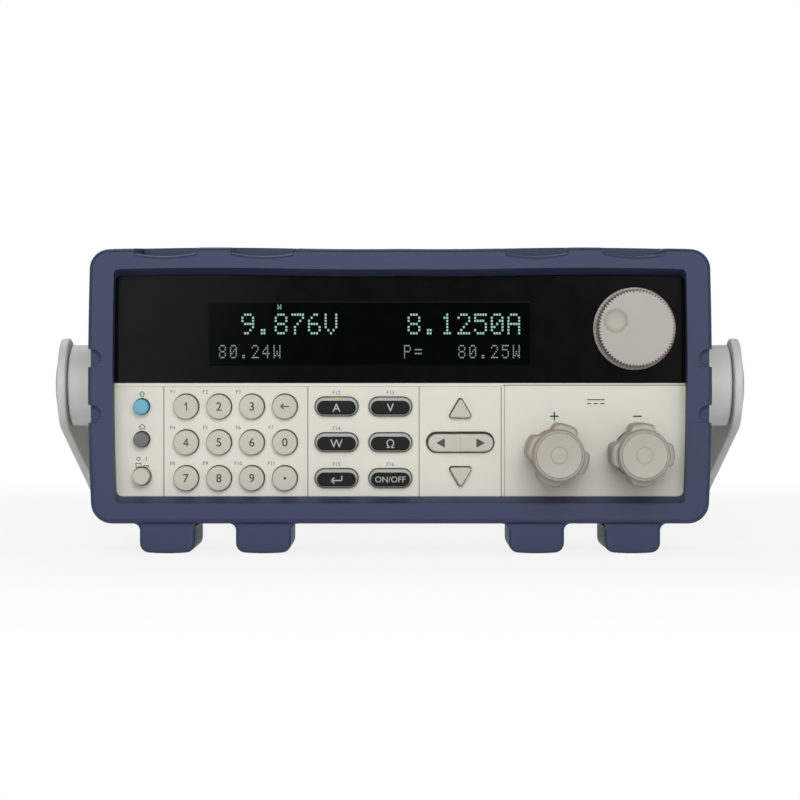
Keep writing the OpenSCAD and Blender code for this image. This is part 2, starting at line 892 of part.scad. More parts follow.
module front_bezel() {
    color("#dcdbd0") difference() {
        union() {
            translate([-case_w / 2, at(0), case_z0]) cube([case_w, bezel_t, case_h]);
            for (p = boss_places) translate([p[0], 0, p[1]]) span(bezel_t, board_d) circle(boss_r);
        }
        translate([0, 0, lens_zc]) span(-over, lens_back)
            square([lens_w, lens_full_h] + 2 * seat_play * [1, 1], center = true);
        translate([display_x, 0, display_z]) span(0, bezel_t + over)
            square([display_w, display_h] + 2 * edge_margin * [1, 1], center = true);
        facing(knob_x, knob_z, bezel_t + over) cylinder(r = bushing_r + drill_play, h = bezel_t + 2 * over);
        span(-over, bezel_t + over) key_openings();
        translate([plate_left - plate_gap, at(-over), plate_z0 - seat_play])
            cube([plate_right - plate_left + plate_gap + seat_play, bezel_t + 2 * over,
                plate_z1 - plate_z0 + plate_gap]);
        for (x = concat(divider_x, [plate_groove_x]))
            translate([x - groove_w / 2, at(-over), window_z0 - over])
            cube([groove_w, groove_d + over, ledge_z - window_z0 + over]);
        translate([left_x - over, at(-over), ledge_z - groove_w])
            cube([plate_left - plate_gap - left_x, groove_d + over, groove_w]);
    }
}

module display_lens() {
    color("#0d0d0d") difference() {
        translate([0, 0, lens_zc]) span(lens_drop, lens_back) square([lens_w, lens_full_h], center = true);
        facing(knob_x, knob_z, lens_back + over)
            cylinder(r = bushing_r + drill_play, h = lens_t + 2 * over);
    }
}

module display_module() {
    color("#1b2622") translate([display_x, 0, display_z]) {
        span(bezel_t, board_d)
            square([display_w, display_h] + 2 * [display_rim_x, display_rim_z], center = true);
        span(lens_back, bezel_t) square([display_w, display_h], center = true);
    }
}

module input_plate() {
    w = plate_right - plate_left;
    h = plate_z1 - plate_z0;
    color("#dcdbd0") difference() {
        union() {
            translate([plate_left, at(0), plate_z0]) cube([w, bezel_t, h]);
            translate([plate_left - plate_flange, at(bezel_t), plate_z0 - plate_flange])
                cube([w + 2 * plate_flange, plate_flange_t, h + 2 * plate_flange]);
        }
        for (side = [-1, 1]) facing(post_x + side * post_pitch / 2, post_z, bezel_t + plate_flange_t + over)
            cylinder(r = spigot_r + seat_play, h = bezel_t + plate_flange_t + 2 * over);
    }
}

module keypad_mat() {
    x0 = left_x + board_margin;
    color("#8f8c86") difference() {
        translate([x0, at(mat_d), window_z0])
            cube([plate_left - board_margin - x0, mat_t, ledge_z - window_z0]);
        facing(small_x, power_z, board_d + over) cylinder(r = stem_hole_r, h = mat_t + 2 * over);
    }
}

module keypad_board() {
    x0 = left_x + board_margin;
    color("#2f6b47") difference() {
        union() {
            translate([x0, at(board_d), lens_z0 + board_margin])
                cube([window_w - 2 * board_margin, board_t, lens_h - board_margin]);
            translate([x0, at(board_d), window_z0])
                cube([plate_left - board_margin - x0, board_t, lens_z0 + board_margin - window_z0]);
        }
        facing(small_x, power_z, board_back + over) cylinder(r = stem_hole_r, h = board_t + 2 * over);
    }
}

// Keys

module number_key(col, row) {
    r = key_dia / 2;
    color("#cfc8bf") facing(number_x + col * key_pitch_x, row_z(row), key_back) {
        cylinder(r = r + flange_w, h = flange_t);
        rounded_plug(r, key_back + key_proud, key_edge);
    }
}

module pill_key(col, row) {
    color("#a9aba6") facing(pill_x + col * pill_pitch, row_z(row), key_back) {
        linear_extrude(flange_t) pill(pill_w + 2 * flange_w, pill_h + 2 * flange_w);
        linear_extrude(key_back + key_proud) pill(pill_w, pill_h);
    }
}

module arrow_key(up) {
    color("#cfc8bf") {
        span(key_back - flange_t, key_back) arrow_outline(key_play + flange_w / 2, up);
        span(-key_proud, key_back) arrow_outline(0, up);
    }
}

// The rocker turns about an upright rib that stands on the mat
module left_right_rocker() {
    rib_h = rocker_h - 2 * pivot_rib_inset;
    color("#cfc8bf") {
        translate([arrow_x, 0, row_z(1)]) {
            span(-key_proud, rocker_front) pill(rocker_w, rocker_h);
            span(rocker_front - over, pivot_rib_d) square([2 * pivot_rib, rib_h], center = true);
        }
        translate([arrow_x, at(pivot_rib_d), row_z(1) - rib_h / 2]) cylinder(r = pivot_rib, h = rib_h);
    }
}

module small_button(z) {
    facing(small_x, z, key_back) {
        cylinder(r = small_dia / 2 + flange_w, h = flange_t);
        rounded_plug(small_dia / 2, key_back + small_proud, key_edge);
    }
}

module shift_button() {
    color("#5aa9cf") small_button(row_z(0));
}

module local_button() {
    color("#5a5a5a") small_button(local_z);
}

module power_button() {
    color("#cfc8bf") {
        facing(small_x, power_z, power_back)
            rounded_plug(power_dia / 2, power_back + power_proud, key_edge);
        facing(small_x, power_z, board_back + stem_l)
            cylinder(r = stem_r, h = board_back + stem_l - power_back);
    }
}

module power_switch() {
    color("#30343a") difference() {
        translate([small_x, 0, power_z]) span(board_back, board_back + switch_l)
            square(switch_size, center = true);
        facing(small_x, power_z, board_back + stem_l + power_travel + over)
            cylinder(r = stem_r + run_play, h = stem_l + power_travel + 2 * over);
    }
}

// Tuning knob

function knurl_points(r) = [for (i = [0:2 * knurl_teeth - 1]) let (a = 180 * i / knurl_teeth)
    (r - (i % 2) * knurl_d) * [cos(a), sin(a)]];

module tuning_knob() {
    dimple_r = (pow(dimple_dia / 2, 2) + pow(dimple_d, 2)) / (2 * dimple_d);
    color("#b8b6a8") facing(knob_x, knob_z, knob_back) difference() {
        union() {
            rounded_plug(skirt_dia / 2, skirt_t, skirt_t / 2);
            linear_extrude(knob_l, scale = knurl_taper) polygon(knurl_points(knurl_dia / 2));
        }
        translate([0, 0, -over]) cylinder(r = nut_cavity_r, h = nut_cavity_d + over);
        cylinder(r = shaft_r + seat_play, h = shaft_end + over);
        rotate(dimple_angle) translate([dimple_off, 0, knob_l - dimple_d + dimple_r]) sphere(dimple_r);
    }
}

module encoder_shaft() {
    color("#c2c4c6") facing(knob_x, knob_z, bezel_t)
        cylinder(r = shaft_r, h = bezel_t - knob_back + shaft_end);
}

module rotary_encoder() {
    color("#9aa0a4") {
        difference() {
            union() {
                translate([knob_x, 0, knob_z]) span(bezel_t, board_d) square(encoder_size, center = true);
                facing(knob_x, knob_z, bezel_t)
                    cylinder(r = bushing_r, h = bezel_t - knob_back + bushing_reach);
            }
            facing(knob_x, knob_z, bezel_t) cylinder(r = shaft_r + run_play, h = bezel_t + knob_l);
        }
        facing(knob_x, knob_z, lens_drop) difference() {
            cylinder(r = nut_flat_r, h = nut_t, $fn = 6);
            translate([0, 0, -over]) cylinder(r = bushing_r + seat_play, h = nut_t + 2 * over);
        }
    }
}

// Terminals

module collar(side) {
    facing(post_x + side * post_pitch / 2, post_z, bezel_t + plate_flange_t) difference() {
        union() {
            translate([0, 0, bezel_t + plate_flange_t])
                rounded_plug(collar_dia / 2, collar_h, collar_edge);
            cylinder(r = spigot_r, h = bezel_t + plate_flange_t + collar_h / 2);
        }
        translate([0, 0, -over]) cylinder(r = stud_r + seat_play, h = post_l);
    }
}

module positive_collar() {
    color("#c23b34") collar(-1);
}

module negative_collar() {
    color("#1d1d1f") collar(1);
}

module terminal_studs() {
    nut_back = bezel_t + plate_flange_t + stud_nut_t;
    color("#c9b27a") for (side = [-1, 1]) {
        x = post_x + side * post_pitch / 2;
        facing(x, post_z, stud_back) cylinder(r = stud_r, h = stud_back + collar_h + clamp_t + stud_in);
        facing(x, post_z, nut_back) difference() {
            cylinder(r = stud_nut_r, h = stud_nut_t, $fn = 6);
            translate([0, 0, -over]) cylinder(r = stud_r + seat_play, h = stud_nut_t + 2 * over);
        }
    }
}

module clamp_washer(side) {
    color("#d9d4c6") facing(post_x + side * post_pitch / 2, post_z, -collar_h)
        ring(clamp_dia / 2, stud_r + run_play, clamp_t);
}

// Tapered screw knob with four lobes round a core that ends in a round cap
module terminal_knob(side, turn) {
    cap_z = post_l - cap_edge;
    color("#b9b7ab") facing(post_x + side * post_pitch / 2, post_z, -collar_h - clamp_t) difference() {
        union() {
            rotate_extrude() {
                polygon([[0, 0], [core_base_r, 0], [cap_dia / 2, cap_z], [0, cap_z]]);
                square([cap_dia / 2 - cap_edge, post_l]);
                translate([cap_dia / 2 - cap_edge, cap_z]) circle(cap_edge);
            }
            rotate(turn) intersection() {
                cylinder(r1 = lobe_dia / 2, r2 = lobe_dia / 2 * lobe_front, h = post_l * lobe_l);
                union() for (a = [0, 90]) rotate(a) translate([-lobe_dia, -lobe_w / 2, 0])
                    cube([2 * lobe_dia, lobe_w, post_l]);
            }
        }
        translate([0, 0, -over]) cylinder(r = stud_r + run_play, h = stud_in + 2 * over);
    }
}

// Handle

module pivot_hub() {
    across(case_w / 2, at(pivot_d), pivot_z) difference() {
        union() {
            cylinder(r = hub_dia / 2, h = hub_l - hub_neck_l);
            cylinder(r = hub_neck_r, h = hub_l);
        }
        translate([0, 0, -over]) cylinder(r = pivot_r + drill_play, h = hub_l + 2 * over);
    }
}

module pivot_hubs() {
    color("#c9cac4") both_sides() pivot_hub();
}

module pivot_screws() {
    head_x = arm_x + arm_t - pivot_head_t;
    inner = case_w / 2 - sheet_t - pivot_nut_t;
    color("#9b9ea2") both_sides() {
        across(head_x + pivot_seat, at(pivot_d), pivot_z)
            rounded_plug(pivot_head_r, pivot_head_t - pivot_seat, pivot_head_t / 3);
        across(inner - pivot_tail, at(pivot_d), pivot_z)
            cylinder(r = pivot_r, h = head_x + pivot_seat - inner + pivot_tail);
        across(inner, at(pivot_d), pivot_z) difference() {
            cylinder(r = pivot_nut_r, h = pivot_nut_t, $fn = 6);
            translate([0, 0, -over]) cylinder(r = pivot_r + seat_play, h = pivot_nut_t + 2 * over);
        }
    }
}

// Arm outline round the pivot: a large and a small end joined by their common tangents, which start a
// little inside the two ends so that they cut them cleanly
module arm_outline() {
    far = handle_r * [cos(stow_angle), -sin(stow_angle)];
    up = 90 - stow_angle - tangent_angle;
    down = -90 - stow_angle + tangent_angle;
    near_r = arm_r - tangent_bite;
    far_r = arm_end_r - tangent_bite;
    function polar(r, a) = r * [cos(a), sin(a)];
    circle(arm_r);
    translate(far) circle(arm_end_r);
    polygon([polar(near_r, up), far + polar(far_r, up), far + polar(far_r, down), polar(near_r, down)]);
}

module carry_handle() {
    color("#c9cac4") {
        both_sides() difference() {
            across(arm_x, at(pivot_d), pivot_z) linear_extrude(arm_t) arm_outline();
            across(arm_x - over, at(pivot_d), pivot_z)
                cylinder(r = pivot_r + run_play, h = arm_t + 2 * over);
            across(arm_x + arm_t - pivot_head_t, at(pivot_d), pivot_z)
                cylinder(r = pivot_head_r + pivot_head_play, h = pivot_head_t + over);
        }
        across(-arm_x - bar_root, bar_y, bar_z) cylinder(r = bar_r, h = 2 * (arm_x + bar_root));
    }
}

// Rear fittings

module interface_ports() {
    color("#b4b7ba") {
        translate([serial_x, 0, port_z]) {
            span(case_d, case_d + port_flange)
                rounded_rect(serial_w + 2 * serial_ear, serial_h + 2 * serial_rim, serial_r);
            span(rear_in - port_in, case_d + port_flange)
                pill(serial_w - 2 * drill_play, serial_h - 2 * drill_play);
            span(case_d, case_d + port_proud) pill(serial_shell_w, serial_shell_h);
        }
        translate([usb_x, 0, port_z]) difference() {
            span(rear_in - port_in, case_d + port_flange) square(usb_size - 2 * drill_play, center = true);
            span(case_d - usb_mouth_d, case_d + port_flange + over) difference() {
                square([usb_mouth_w, usb_mouth_h], center = true);
                square([usb_tongue_w, usb_tongue_h], center = true);
            }
        }
    }
}

module sense_terminals() {
    front = case_d + sense_proud;
    color("#3f8f5a") translate([sense_x, 0, sense_z]) difference() {
        span(rear_in - sense_in, front) square([sense_w, sense_h], center = true);
        for (i = [0:sense_poles - 1]) translate([(i - (sense_poles - 1) / 2) * sense_pitch, 0, 0]) {
            translate([0, 0, -sense_wire_drop]) span(front - sense_wire_d, front + over)
                square([sense_wire_w, sense_wire_h], center = true);
            translate([0, 0, sense_screw_z]) span(front - sense_screw_d, front + over)
                circle(sense_screw_r);
        }
    }
}

// Inlet moulding with a tapered-corner mouth, three blades and a bay for the fuse drawer
module mains_inlet() {
    mouth_floor = case_d + inlet_flange_t - inlet_mouth_d;
    x = inlet_mouth_w / 2;
    z = inlet_mouth_h / 2;
    corner = x - inlet_mouth_cut;
    shoulder = z - inlet_mouth_cut;
    color("#18191b") {
        difference() {
            union() {
                translate([inlet_x, 0, case_zc]) span(case_d, case_d + inlet_flange_t)
                    rounded_rect(inlet_w, inlet_h, inlet_r);
                translate([inlet_x, 0, case_zc]) span(rear_in - inlet_body_d, case_d)
                    square([inlet_body_w, inlet_body_h], center = true);
            }
            translate([inlet_x, 0, inlet_mouth_z]) span(mouth_floor, case_d + inlet_flange_t + over)
                polygon([[-x, -z], [x, -z], [x, shoulder], [corner, z], [-corner, z], [-x, shoulder]]);
            translate([inlet_x, 0, drawer_z]) span(case_d + inlet_flange_t - drawer_d - over,
                case_d + inlet_flange_t + over)
                square([drawer_w, drawer_h] + 2 * drawer_play * [1, 1], center = true);
        }
        for (i = [-1:1]) translate([inlet_x + i * pin_x, 0, inlet_mouth_z + (1 - 2 * abs(i)) * pin_z])
            span(mouth_floor, mouth_floor + pin_l) square([pin_t, pin_w], center = true);
    }
}

module fuse_drawer() {
    front = case_d + inlet_flange_t;
    color("#242528") translate([inlet_x, 0, drawer_z]) difference() {
        span(front - drawer_d, front + drawer_face_t) square([drawer_w, drawer_h], center = true);
        span(front - drawer_d + drawer_wall, front - drawer_wall) translate([0, drawer_wall])
            square([drawer_w - 2 * drawer_side, drawer_h - drawer_wall], center = true);
    }
}

// Inside

// Fins that stand off an upright base plate, drawn in X and Z
module heatsink_outline() {
    square([sink_base, sink_h]);
    for (i = [0:sink_fins - 1]) translate([0, i * (sink_h - sink_fin_t) / (sink_fins - 1)])
        square([sink_w, sink_fin_t]);
}

module heatsink() {
    color("#a8abae") translate([sink_x0, 0, tray_top]) span(sink_d0, sink_d1) heatsink_outline();
}

module power_transistors() {
    step = (sink_d1 - sink_d0) / transistor_n;
    color("#222325") for (i = [0:transistor_n - 1])
        translate([sink_x0 - transistor_t, at(sink_d0 + (i + 0.5) * step) - transistor_w / 2,
            tray_top + transistor_rise])
            cube([transistor_t, transistor_w, transistor_h]);
}

module main_board() {
    z = tray_top + standoff_h;
    color("#2f6b47") {
        translate([pcb_x0, at(pcb_d0), z]) cube([pcb_w, pcb_d1 - pcb_d0, board_t]);
        for (p = capacitor_places) translate([pcb_x0 + p[0], at(pcb_d0 + p[1]), z + board_t])
            rounded_plug(capacitor_r, capacitor_h, capacitor_edge);
        translate([pcb_x0 + chip_place[0], at(pcb_d0 + chip_place[1]), z + board_t]) cube(chip_size);
    }
}

// Laminated core with two windows, and the winding round its middle leg
module transformer() {
    window_h = core_h - 2 * core_yoke;
    leg_x = core_leg / 2 + core_window_w / 2;
    wind_h = window_h - 2 * winding_play;
    wind_w = core_leg + 2 * winding_t;
    color("#7d6a4f") translate([transformer_x, 0, tray_top + core_h / 2]) {
        difference() {
            span(transformer_d, transformer_d + core_l) square([core_w, core_h], center = true);
            for (side = [-1, 1]) translate([side * leg_x, 0, 0])
                span(transformer_d - over, transformer_d + core_l + over)
                    square([core_window_w, window_h], center = true);
        }
        difference() {
            span(transformer_d - winding_t, transformer_d + core_l + winding_t)
                square([wind_w, wind_h], center = true);
            span(transformer_d - winding_fit, transformer_d + core_l + winding_fit)
                square([core_leg + 2 * winding_fit, core_h], center = true);
        }
    }
}

module fan_frame() {
    front = rear_in - fan_d;
    color("#222427") difference() {
        union() {
            difference() {
                translate([fan_x, 0, case_zc]) span(front, rear_in) rounded_rect(fan_size, fan_size, fan_r);
                rearward(fan_x, case_zc, front - over) cylinder(r = fan_bore, h = fan_d + 2 * over);
            }
            rearward(fan_x, case_zc, front) cylinder(r = fan_hub, h = fan_back_t);
            for (turn = [0, 90, 180, 270]) rearward(fan_x, case_zc, front) rotate(turn)
                translate([0, -fan_strut_w / 2, 0]) cube([fan_bore + over, fan_strut_w, fan_back_t]);
        }
        fan_screw_places() screw_hole();
        rearward(fan_x, case_zc, front + fan_back_t - fan_shaft_in - over)
            cylinder(r = fan_shaft_r + run_play, h = fan_shaft_in + 2 * over);
    }
}

module fan_rotor() {
    hub_d0 = rear_in - fan_d + fan_back_t + fan_gap;
    hub_l = fan_d - fan_back_t - fan_end_gap;
    tip = fan_bore - fan_play;
    blade_w = (hub_l - fan_end_gap) / cos(blade_lean / 2);
    color("#2b2d31") rearward(fan_x, case_zc, hub_d0) {
        rounded_plug(fan_hub, hub_l, fan_hub_edge);
        translate([0, 0, -fan_shaft_in - fan_gap])
            cylinder(r = fan_shaft_r, h = fan_shaft_in + fan_gap + over);
        intersection() {
            ring(tip, fan_hub - over, hub_l - blade_inset);
            for (i = [0:fan_blades - 1]) rotate(i * 360 / fan_blades) translate([tip / 2, 0, hub_l / 2])
                rotate([blade_lean, 0, 0]) cube([tip, blade_t, blade_w], center = true);
        }
    }
}

chassis_tray();
top_cover();
rear_panel();
front_bumper();
rear_bumper();
front_bezel();
display_lens();
display_module();
input_plate();
keypad_mat();
keypad_board();
rotary_encoder();
power_switch();
positive_collar();
negative_collar();
terminal_studs();
pivot_hubs();
pivot_screws();
case_screws();
heatsink();
power_transistors();
main_board();
transformer();
fan_frame();
mains_inlet();
interface_ports();
sense_terminals();
carry_handle();
tuning_knob();
encoder_shaft();
clamp_washer(-1);  // positive_washer
clamp_washer(1);  // negative_washer
terminal_knob(-1, -lobe_turn);  // positive_terminal_knob
terminal_knob(1, 0);  // negative_terminal_knob
fan_rotor();
fuse_drawer();
shift_button();
local_button();
power_button();
arrow_key(true);  // up_key
arrow_key(false);  // down_key
left_right_rocker();
for (row = [0:2], col = [0:3]) number_key(col, row);
for (row = [0:2], col = [0:1]) pill_key(col, row);
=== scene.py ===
"""Dresses the CAD frame of a half-rack DC electronic load: bumpers, keys, knobs, display and finishes."""

import json
import math

import bmesh
import bpy
import numpy as np
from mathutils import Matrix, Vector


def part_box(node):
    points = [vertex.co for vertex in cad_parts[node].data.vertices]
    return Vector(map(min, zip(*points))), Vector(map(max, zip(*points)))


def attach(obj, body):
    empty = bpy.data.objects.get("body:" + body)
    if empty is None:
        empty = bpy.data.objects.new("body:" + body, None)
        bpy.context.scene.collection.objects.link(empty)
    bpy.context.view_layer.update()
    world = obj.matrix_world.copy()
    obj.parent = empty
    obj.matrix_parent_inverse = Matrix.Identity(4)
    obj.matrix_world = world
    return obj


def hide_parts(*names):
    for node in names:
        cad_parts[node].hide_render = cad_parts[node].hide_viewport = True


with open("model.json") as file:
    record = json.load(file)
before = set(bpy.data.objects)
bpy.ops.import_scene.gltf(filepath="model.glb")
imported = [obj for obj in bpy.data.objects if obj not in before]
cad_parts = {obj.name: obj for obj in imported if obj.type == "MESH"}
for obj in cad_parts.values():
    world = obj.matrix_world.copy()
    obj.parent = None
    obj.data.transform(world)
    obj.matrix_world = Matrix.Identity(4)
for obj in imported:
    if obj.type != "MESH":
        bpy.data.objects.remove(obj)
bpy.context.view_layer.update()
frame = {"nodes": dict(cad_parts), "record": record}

bl_info = {
    "name": "DC load looks",
    "version": (1, 0, 0),
    "blender": (4, 5, 0),
    "location": "3D View > Sidebar > DC load",
    "description": "Dresses the frame of a bench DC electronic load",
    "category": "Object",
}

MM = 0.001
SLOTS = {part["node"]: part["material_slot"] for part in frame["record"]["subparts"]}
NUMBER_KEYS = {
    "key_1": "1", "key_2": "2", "key_3": "3", "key_escape": "", "key_4": "4", "key_5": "5", "key_6": "6",
    "key_0": "0", "key_7": "7", "key_8": "8", "key_9": "9", "key_point": "",
}
FUNCTION_KEYS = {
    "current_key": "A", "voltage_key": "V", "watt_key": "W", "resistance_key": "Ω",
    "enter_key": "", "on_off_key": "ON/OFF",
}
ARROW_KEYS = {"up_key": 1, "down_key": -1}
TERMINALS = ("positive", "negative")
# Share of a terminal knob's length that its lobes take up at full width
LOBE_LENGTH = 0.68
# Middles of the panel's divider grooves, foot of the window, drop of the panel's ledge below the lens
DIVIDERS = (-84.8, -33.06, 7.0)
WINDOW_FOOT, LEDGE_DROP = 20.2, 1.1
# How far the display's filter glass stands proud of the lens
GLASS_RISE = 0.06
# Depth taken as a key's front, thickness of the flange that holds it, drop and rise of a function key's cap
KEY_FRONT, FLANGE, CAP_DROP, CAP_RISE = 2, 1, 0.42, 0.22
# How far a print reaches into its ground, and a small sign's place above its key
SOAK, SIGN_GAP = 0.1, 1.75

# Paths of points: figures as shares of their height, symbols in millimetres
STROKED = {
    "1": [[(0.08, -0.43), (0.08, 0.43), (-0.16, 0.2)]],
    "4": [[(0.13, -0.43), (0.13, 0.43), (-0.29, -0.2), (0.31, -0.2)]],
}
SYMBOLS = {
    "escape": [[(1.4, 0), (-1.4, 0), (-0.5, 0.9)], [(-1.4, 0), (-0.5, -0.9)]],
    "enter": [[(1.9, 1.1), (1.9, -0.4), (-1.9, -0.4), (-0.9, 0.5)], [(-1.9, -0.4), (-0.9, -1.3)]],
    "positive": [[(-1.35, 0), (1.35, 0)], [(0, -1.35), (0, 1.35)]],
    "negative": [[(-1.35, 0), (1.35, 0)]],
    "direct": [[(-3, 0.7), (3, 0.7)], [(-3, -0.7), (-1.8, -0.7)], [(-0.6, -0.7), (0.6, -0.7)],
               [(1.8, -0.7), (3, -0.7)]],
    "power": [[(1.5, -0.6), (1.5, 0.6)], [(0.6, -2.4), (2.4, -2.4), (2.4, -2.9), (0.6, -2.9), (0.6, -2.4)],
              [(-2.2, -1.6), (-0.4, -1.6), (-0.4, -2.9), (-2.2, -2.9), (-2.2, -1.6)]],
    "shift": [[(-0.45, 0), (-0.45, -0.8), (0.45, -0.8), (0.45, 0), (1, 0), (0, 0.95), (-1, 0), (-0.45, 0)]],
    "local": [[(-0.8, 0.15), (-0.8, -0.7), (0.8, -0.7), (0.8, 0.15)], [(-1.15, 0), (0, 0.9), (1.15, 0)]],
}

# Five by seven dot characters, one number per row from the top, the leftmost dot as 16
DOT_ROWS = {
    "0": (14, 17, 19, 21, 25, 17, 14), "1": (4, 12, 4, 4, 4, 4, 14), "2": (14, 17, 1, 2, 4, 8, 31),
    "4": (2, 6, 10, 18, 31, 2, 2), "5": (31, 16, 30, 1, 1, 17, 14), "6": (6, 8, 16, 30, 17, 17, 14),
    "7": (31, 1, 2, 4, 8, 8, 8), "8": (14, 17, 17, 14, 17, 17, 14), "9": (14, 17, 17, 15, 1, 2, 12),
    ".": (0, 0, 0, 0, 0, 12, 12), "=": (0, 0, 31, 0, 31, 0, 0), "-": (0, 0, 0, 31, 0, 0, 0),
    "V": (17, 17, 17, 17, 17, 10, 4), "A": (14, 17, 17, 31, 17, 17, 17), "W": (17, 17, 17, 21, 21, 27, 17),
    "P": (30, 17, 17, 30, 16, 16, 16), " ": (0, 0, 0, 0, 0, 0, 0),
}


def linear(colour):
    """sRGB hex as linear RGB: c / 12.92 up to 0.04045, ((c + 0.055) / 1.055) ** 2.4 above it."""
    c = np.array([int(colour[i:i + 2], 16) for i in (1, 3, 5)]) / 255
    return tuple(np.where(c <= 0.04045, c / 12.92, ((c + 0.055) / 1.055) ** 2.4))


def shade(name, colour):
    """A colour property."""
    return bpy.props.FloatVectorProperty(
        name=name, description=f"Colour of the {name.lower()}", subtype="COLOR", size=3, min=0, max=1,
        default=linear(colour))


def size(name, description, millimetres):
    """A length property, given in millimetres and held in metres."""
    return bpy.props.FloatProperty(
        name=name, description=description, subtype="DISTANCE", unit="LENGTH", precision=5,
        default=millimetres * MM)


class DcLoadColours(bpy.types.PropertyGroup):
    """Colours of the mouldings, paint and print."""

    bumper: shade("Bumpers", "#303A55")
    panel: shade("Front panel", "#D0CFC3")
    keys: shade("Keys", "#B9B6A9")
    pill_rim: shade("Function key rims", "#979994")
    pill_cap: shade("Function key caps", "#10110E")
    shift: shade("Shift button", "#589DB9")
    local: shade("Local button", "#5A5A5A")
    knob: shade("Tuning knob", "#A29D93")
    terminal: shade("Terminal knobs", "#A5A095")
    handle: shade("Handle", "#D2D2CD")
    case: shade("Case paint", "#C9CAC3")
    rear: shade("Rear panel paint", "#B9BAB4")
    glow: shade("Display characters", "#A6DEC6")
    faint_glow: shade("Faint display characters", "#B9D2C8")
    # Painted shade: grey that stands in for the shade in the panel's seams and the rocker's fold
    seam: shade("Painted seam shade", "#9E9C91")
    legend: shade("Key legends", "#2E2C2A")
    second_legend: shade("Second legends", "#46528C")


class DcLoadSizes(bpy.types.PropertyGroup):
    """Sizes of the forms that the CAD frame leaves plain."""

    bumper_round: size("Bumper rounding", "Sideways reach of the bumper's rounded front edge", 1.6)
    bumper_round_depth: size("Bumper rounding depth", "Depth of the bumper's rounded front edge", 2.4)
    bumper_wave: size("Bumper wave", "Rise of the bumper's top edge from corner to middle", 0.3)
    bumper_rise: size("Bumper rise", "How much higher the bumper's top is behind its stacking pockets", 1.7)
    foot_crown: size("Foot crown", "How far a foot's underside is rounded", 0.6)
    handle_dome: size("Handle dome", "How much thinner the handle's arms are at their edges", 1.7)
    key_fill: size("Key fill", "How much of the gap round a key its moulding takes up", 0.08)
    key_sag: size("Key sag", "How far a key hangs off the middle of its hole", 0.12)
    key_round: size("Key rounding", "Rounding of the key edges", 0.45)
    legend_height: size("Number height", "Height of the figures on the number keys", 2.95)
    legend_relief: size("Legend relief", "How far printed legends stand proud", 0.04)
    dot_relief: size("Dot relief", "How far the lit dots stand proud of the display window", 0.05)


def setup():
    """The two property groups of this scene, sizes as a dict in millimetres."""
    scene = bpy.context.scene
    sizes = {key: getattr(scene.dc_load_sizes, key) / MM for key in DcLoadSizes.__annotations__}
    return scene.dc_load_colours, sizes


# Nodes and finishes


def add(tree, kind, settings, links):
    """Adds a node: each setting goes to the socket of that name or number, or to the node itself."""
    node = tree.nodes.new(kind)
    for key, value in settings.items():
        if isinstance(key, int) or key in node.inputs:
            node.inputs[key].default_value = value
        else:
            setattr(node, key, value)
    for key, output in links.items():
        tree.links.new(output, node.inputs[key])
    return node


def joined(tree, operation, first, second):
    """Output of a math node on two others."""
    return add(tree, "ShaderNodeMath", {"operation": operation}, {0: first, 1: second}).outputs[0]


def blank(data):
    """The emptied node tree of a material or a world."""
    data.use_nodes = True
    data.node_tree.nodes.clear()
    return data.node_tree


def linked(name, data):
    """A new object in the scene."""
    item = bpy.data.objects.new(name, data)
    bpy.context.scene.collection.objects.link(item)
    return item


def finish(name, colour, roughness, grain, relief, stretch, **sockets):
    """A surface with a grain of that size in millimetres, which raises it by relief millimetres and breaks
    up its gloss; a broad noise shifts its colour a little. stretch below 1 lengthens the grain."""
    cloud, spread = 25, 0.05
    if name in bpy.data.materials:
        return bpy.data.materials[name]
    material = bpy.data.materials.new(name)
    tree = blank(material)
    place = add(tree, "ShaderNodeTexCoord", {}, {}).outputs["Object"]
    along = add(tree, "ShaderNodeMapping", {"Scale": stretch}, {"Vector": place}).outputs["Vector"]
    fine = add(tree, "ShaderNodeTexNoise", {"Scale": 1 / (grain * MM), "Detail": 3.0}, {"Vector": along})
    broad = add(tree, "ShaderNodeTexNoise", {"Scale": 1 / (cloud * MM), "Detail": 2.0}, {"Vector": place})
    ramp = add(tree, "ShaderNodeValToRGB", {}, {"Fac": broad.outputs["Fac"]})
    for element, light in zip(ramp.color_ramp.elements, (0.98, 1.02)):
        element.color = (*np.minimum(np.array(colour) * light, 1), 1)
    ramp.color_ramp.elements[0].position, ramp.color_ramp.elements[1].position = 0.3, 0.7
    gloss = add(tree, "ShaderNodeMapRange", {"To Min": roughness - spread, "To Max": roughness + spread},
                {"Value": fine.outputs["Fac"]})
    bump = add(tree, "ShaderNodeBump", {"Strength": 0.6, "Distance": relief * MM},
               {"Height": fine.outputs["Fac"]})
    surface = add(tree, "ShaderNodeBsdfPrincipled", sockets, {
        "Base Color": ramp.outputs["Color"], "Roughness": gloss.outputs["Result"],
        "Normal": bump.outputs["Normal"]})
    add(tree, "ShaderNodeOutputMaterial", {}, {"Surface": surface.outputs["BSDF"]})
    return material


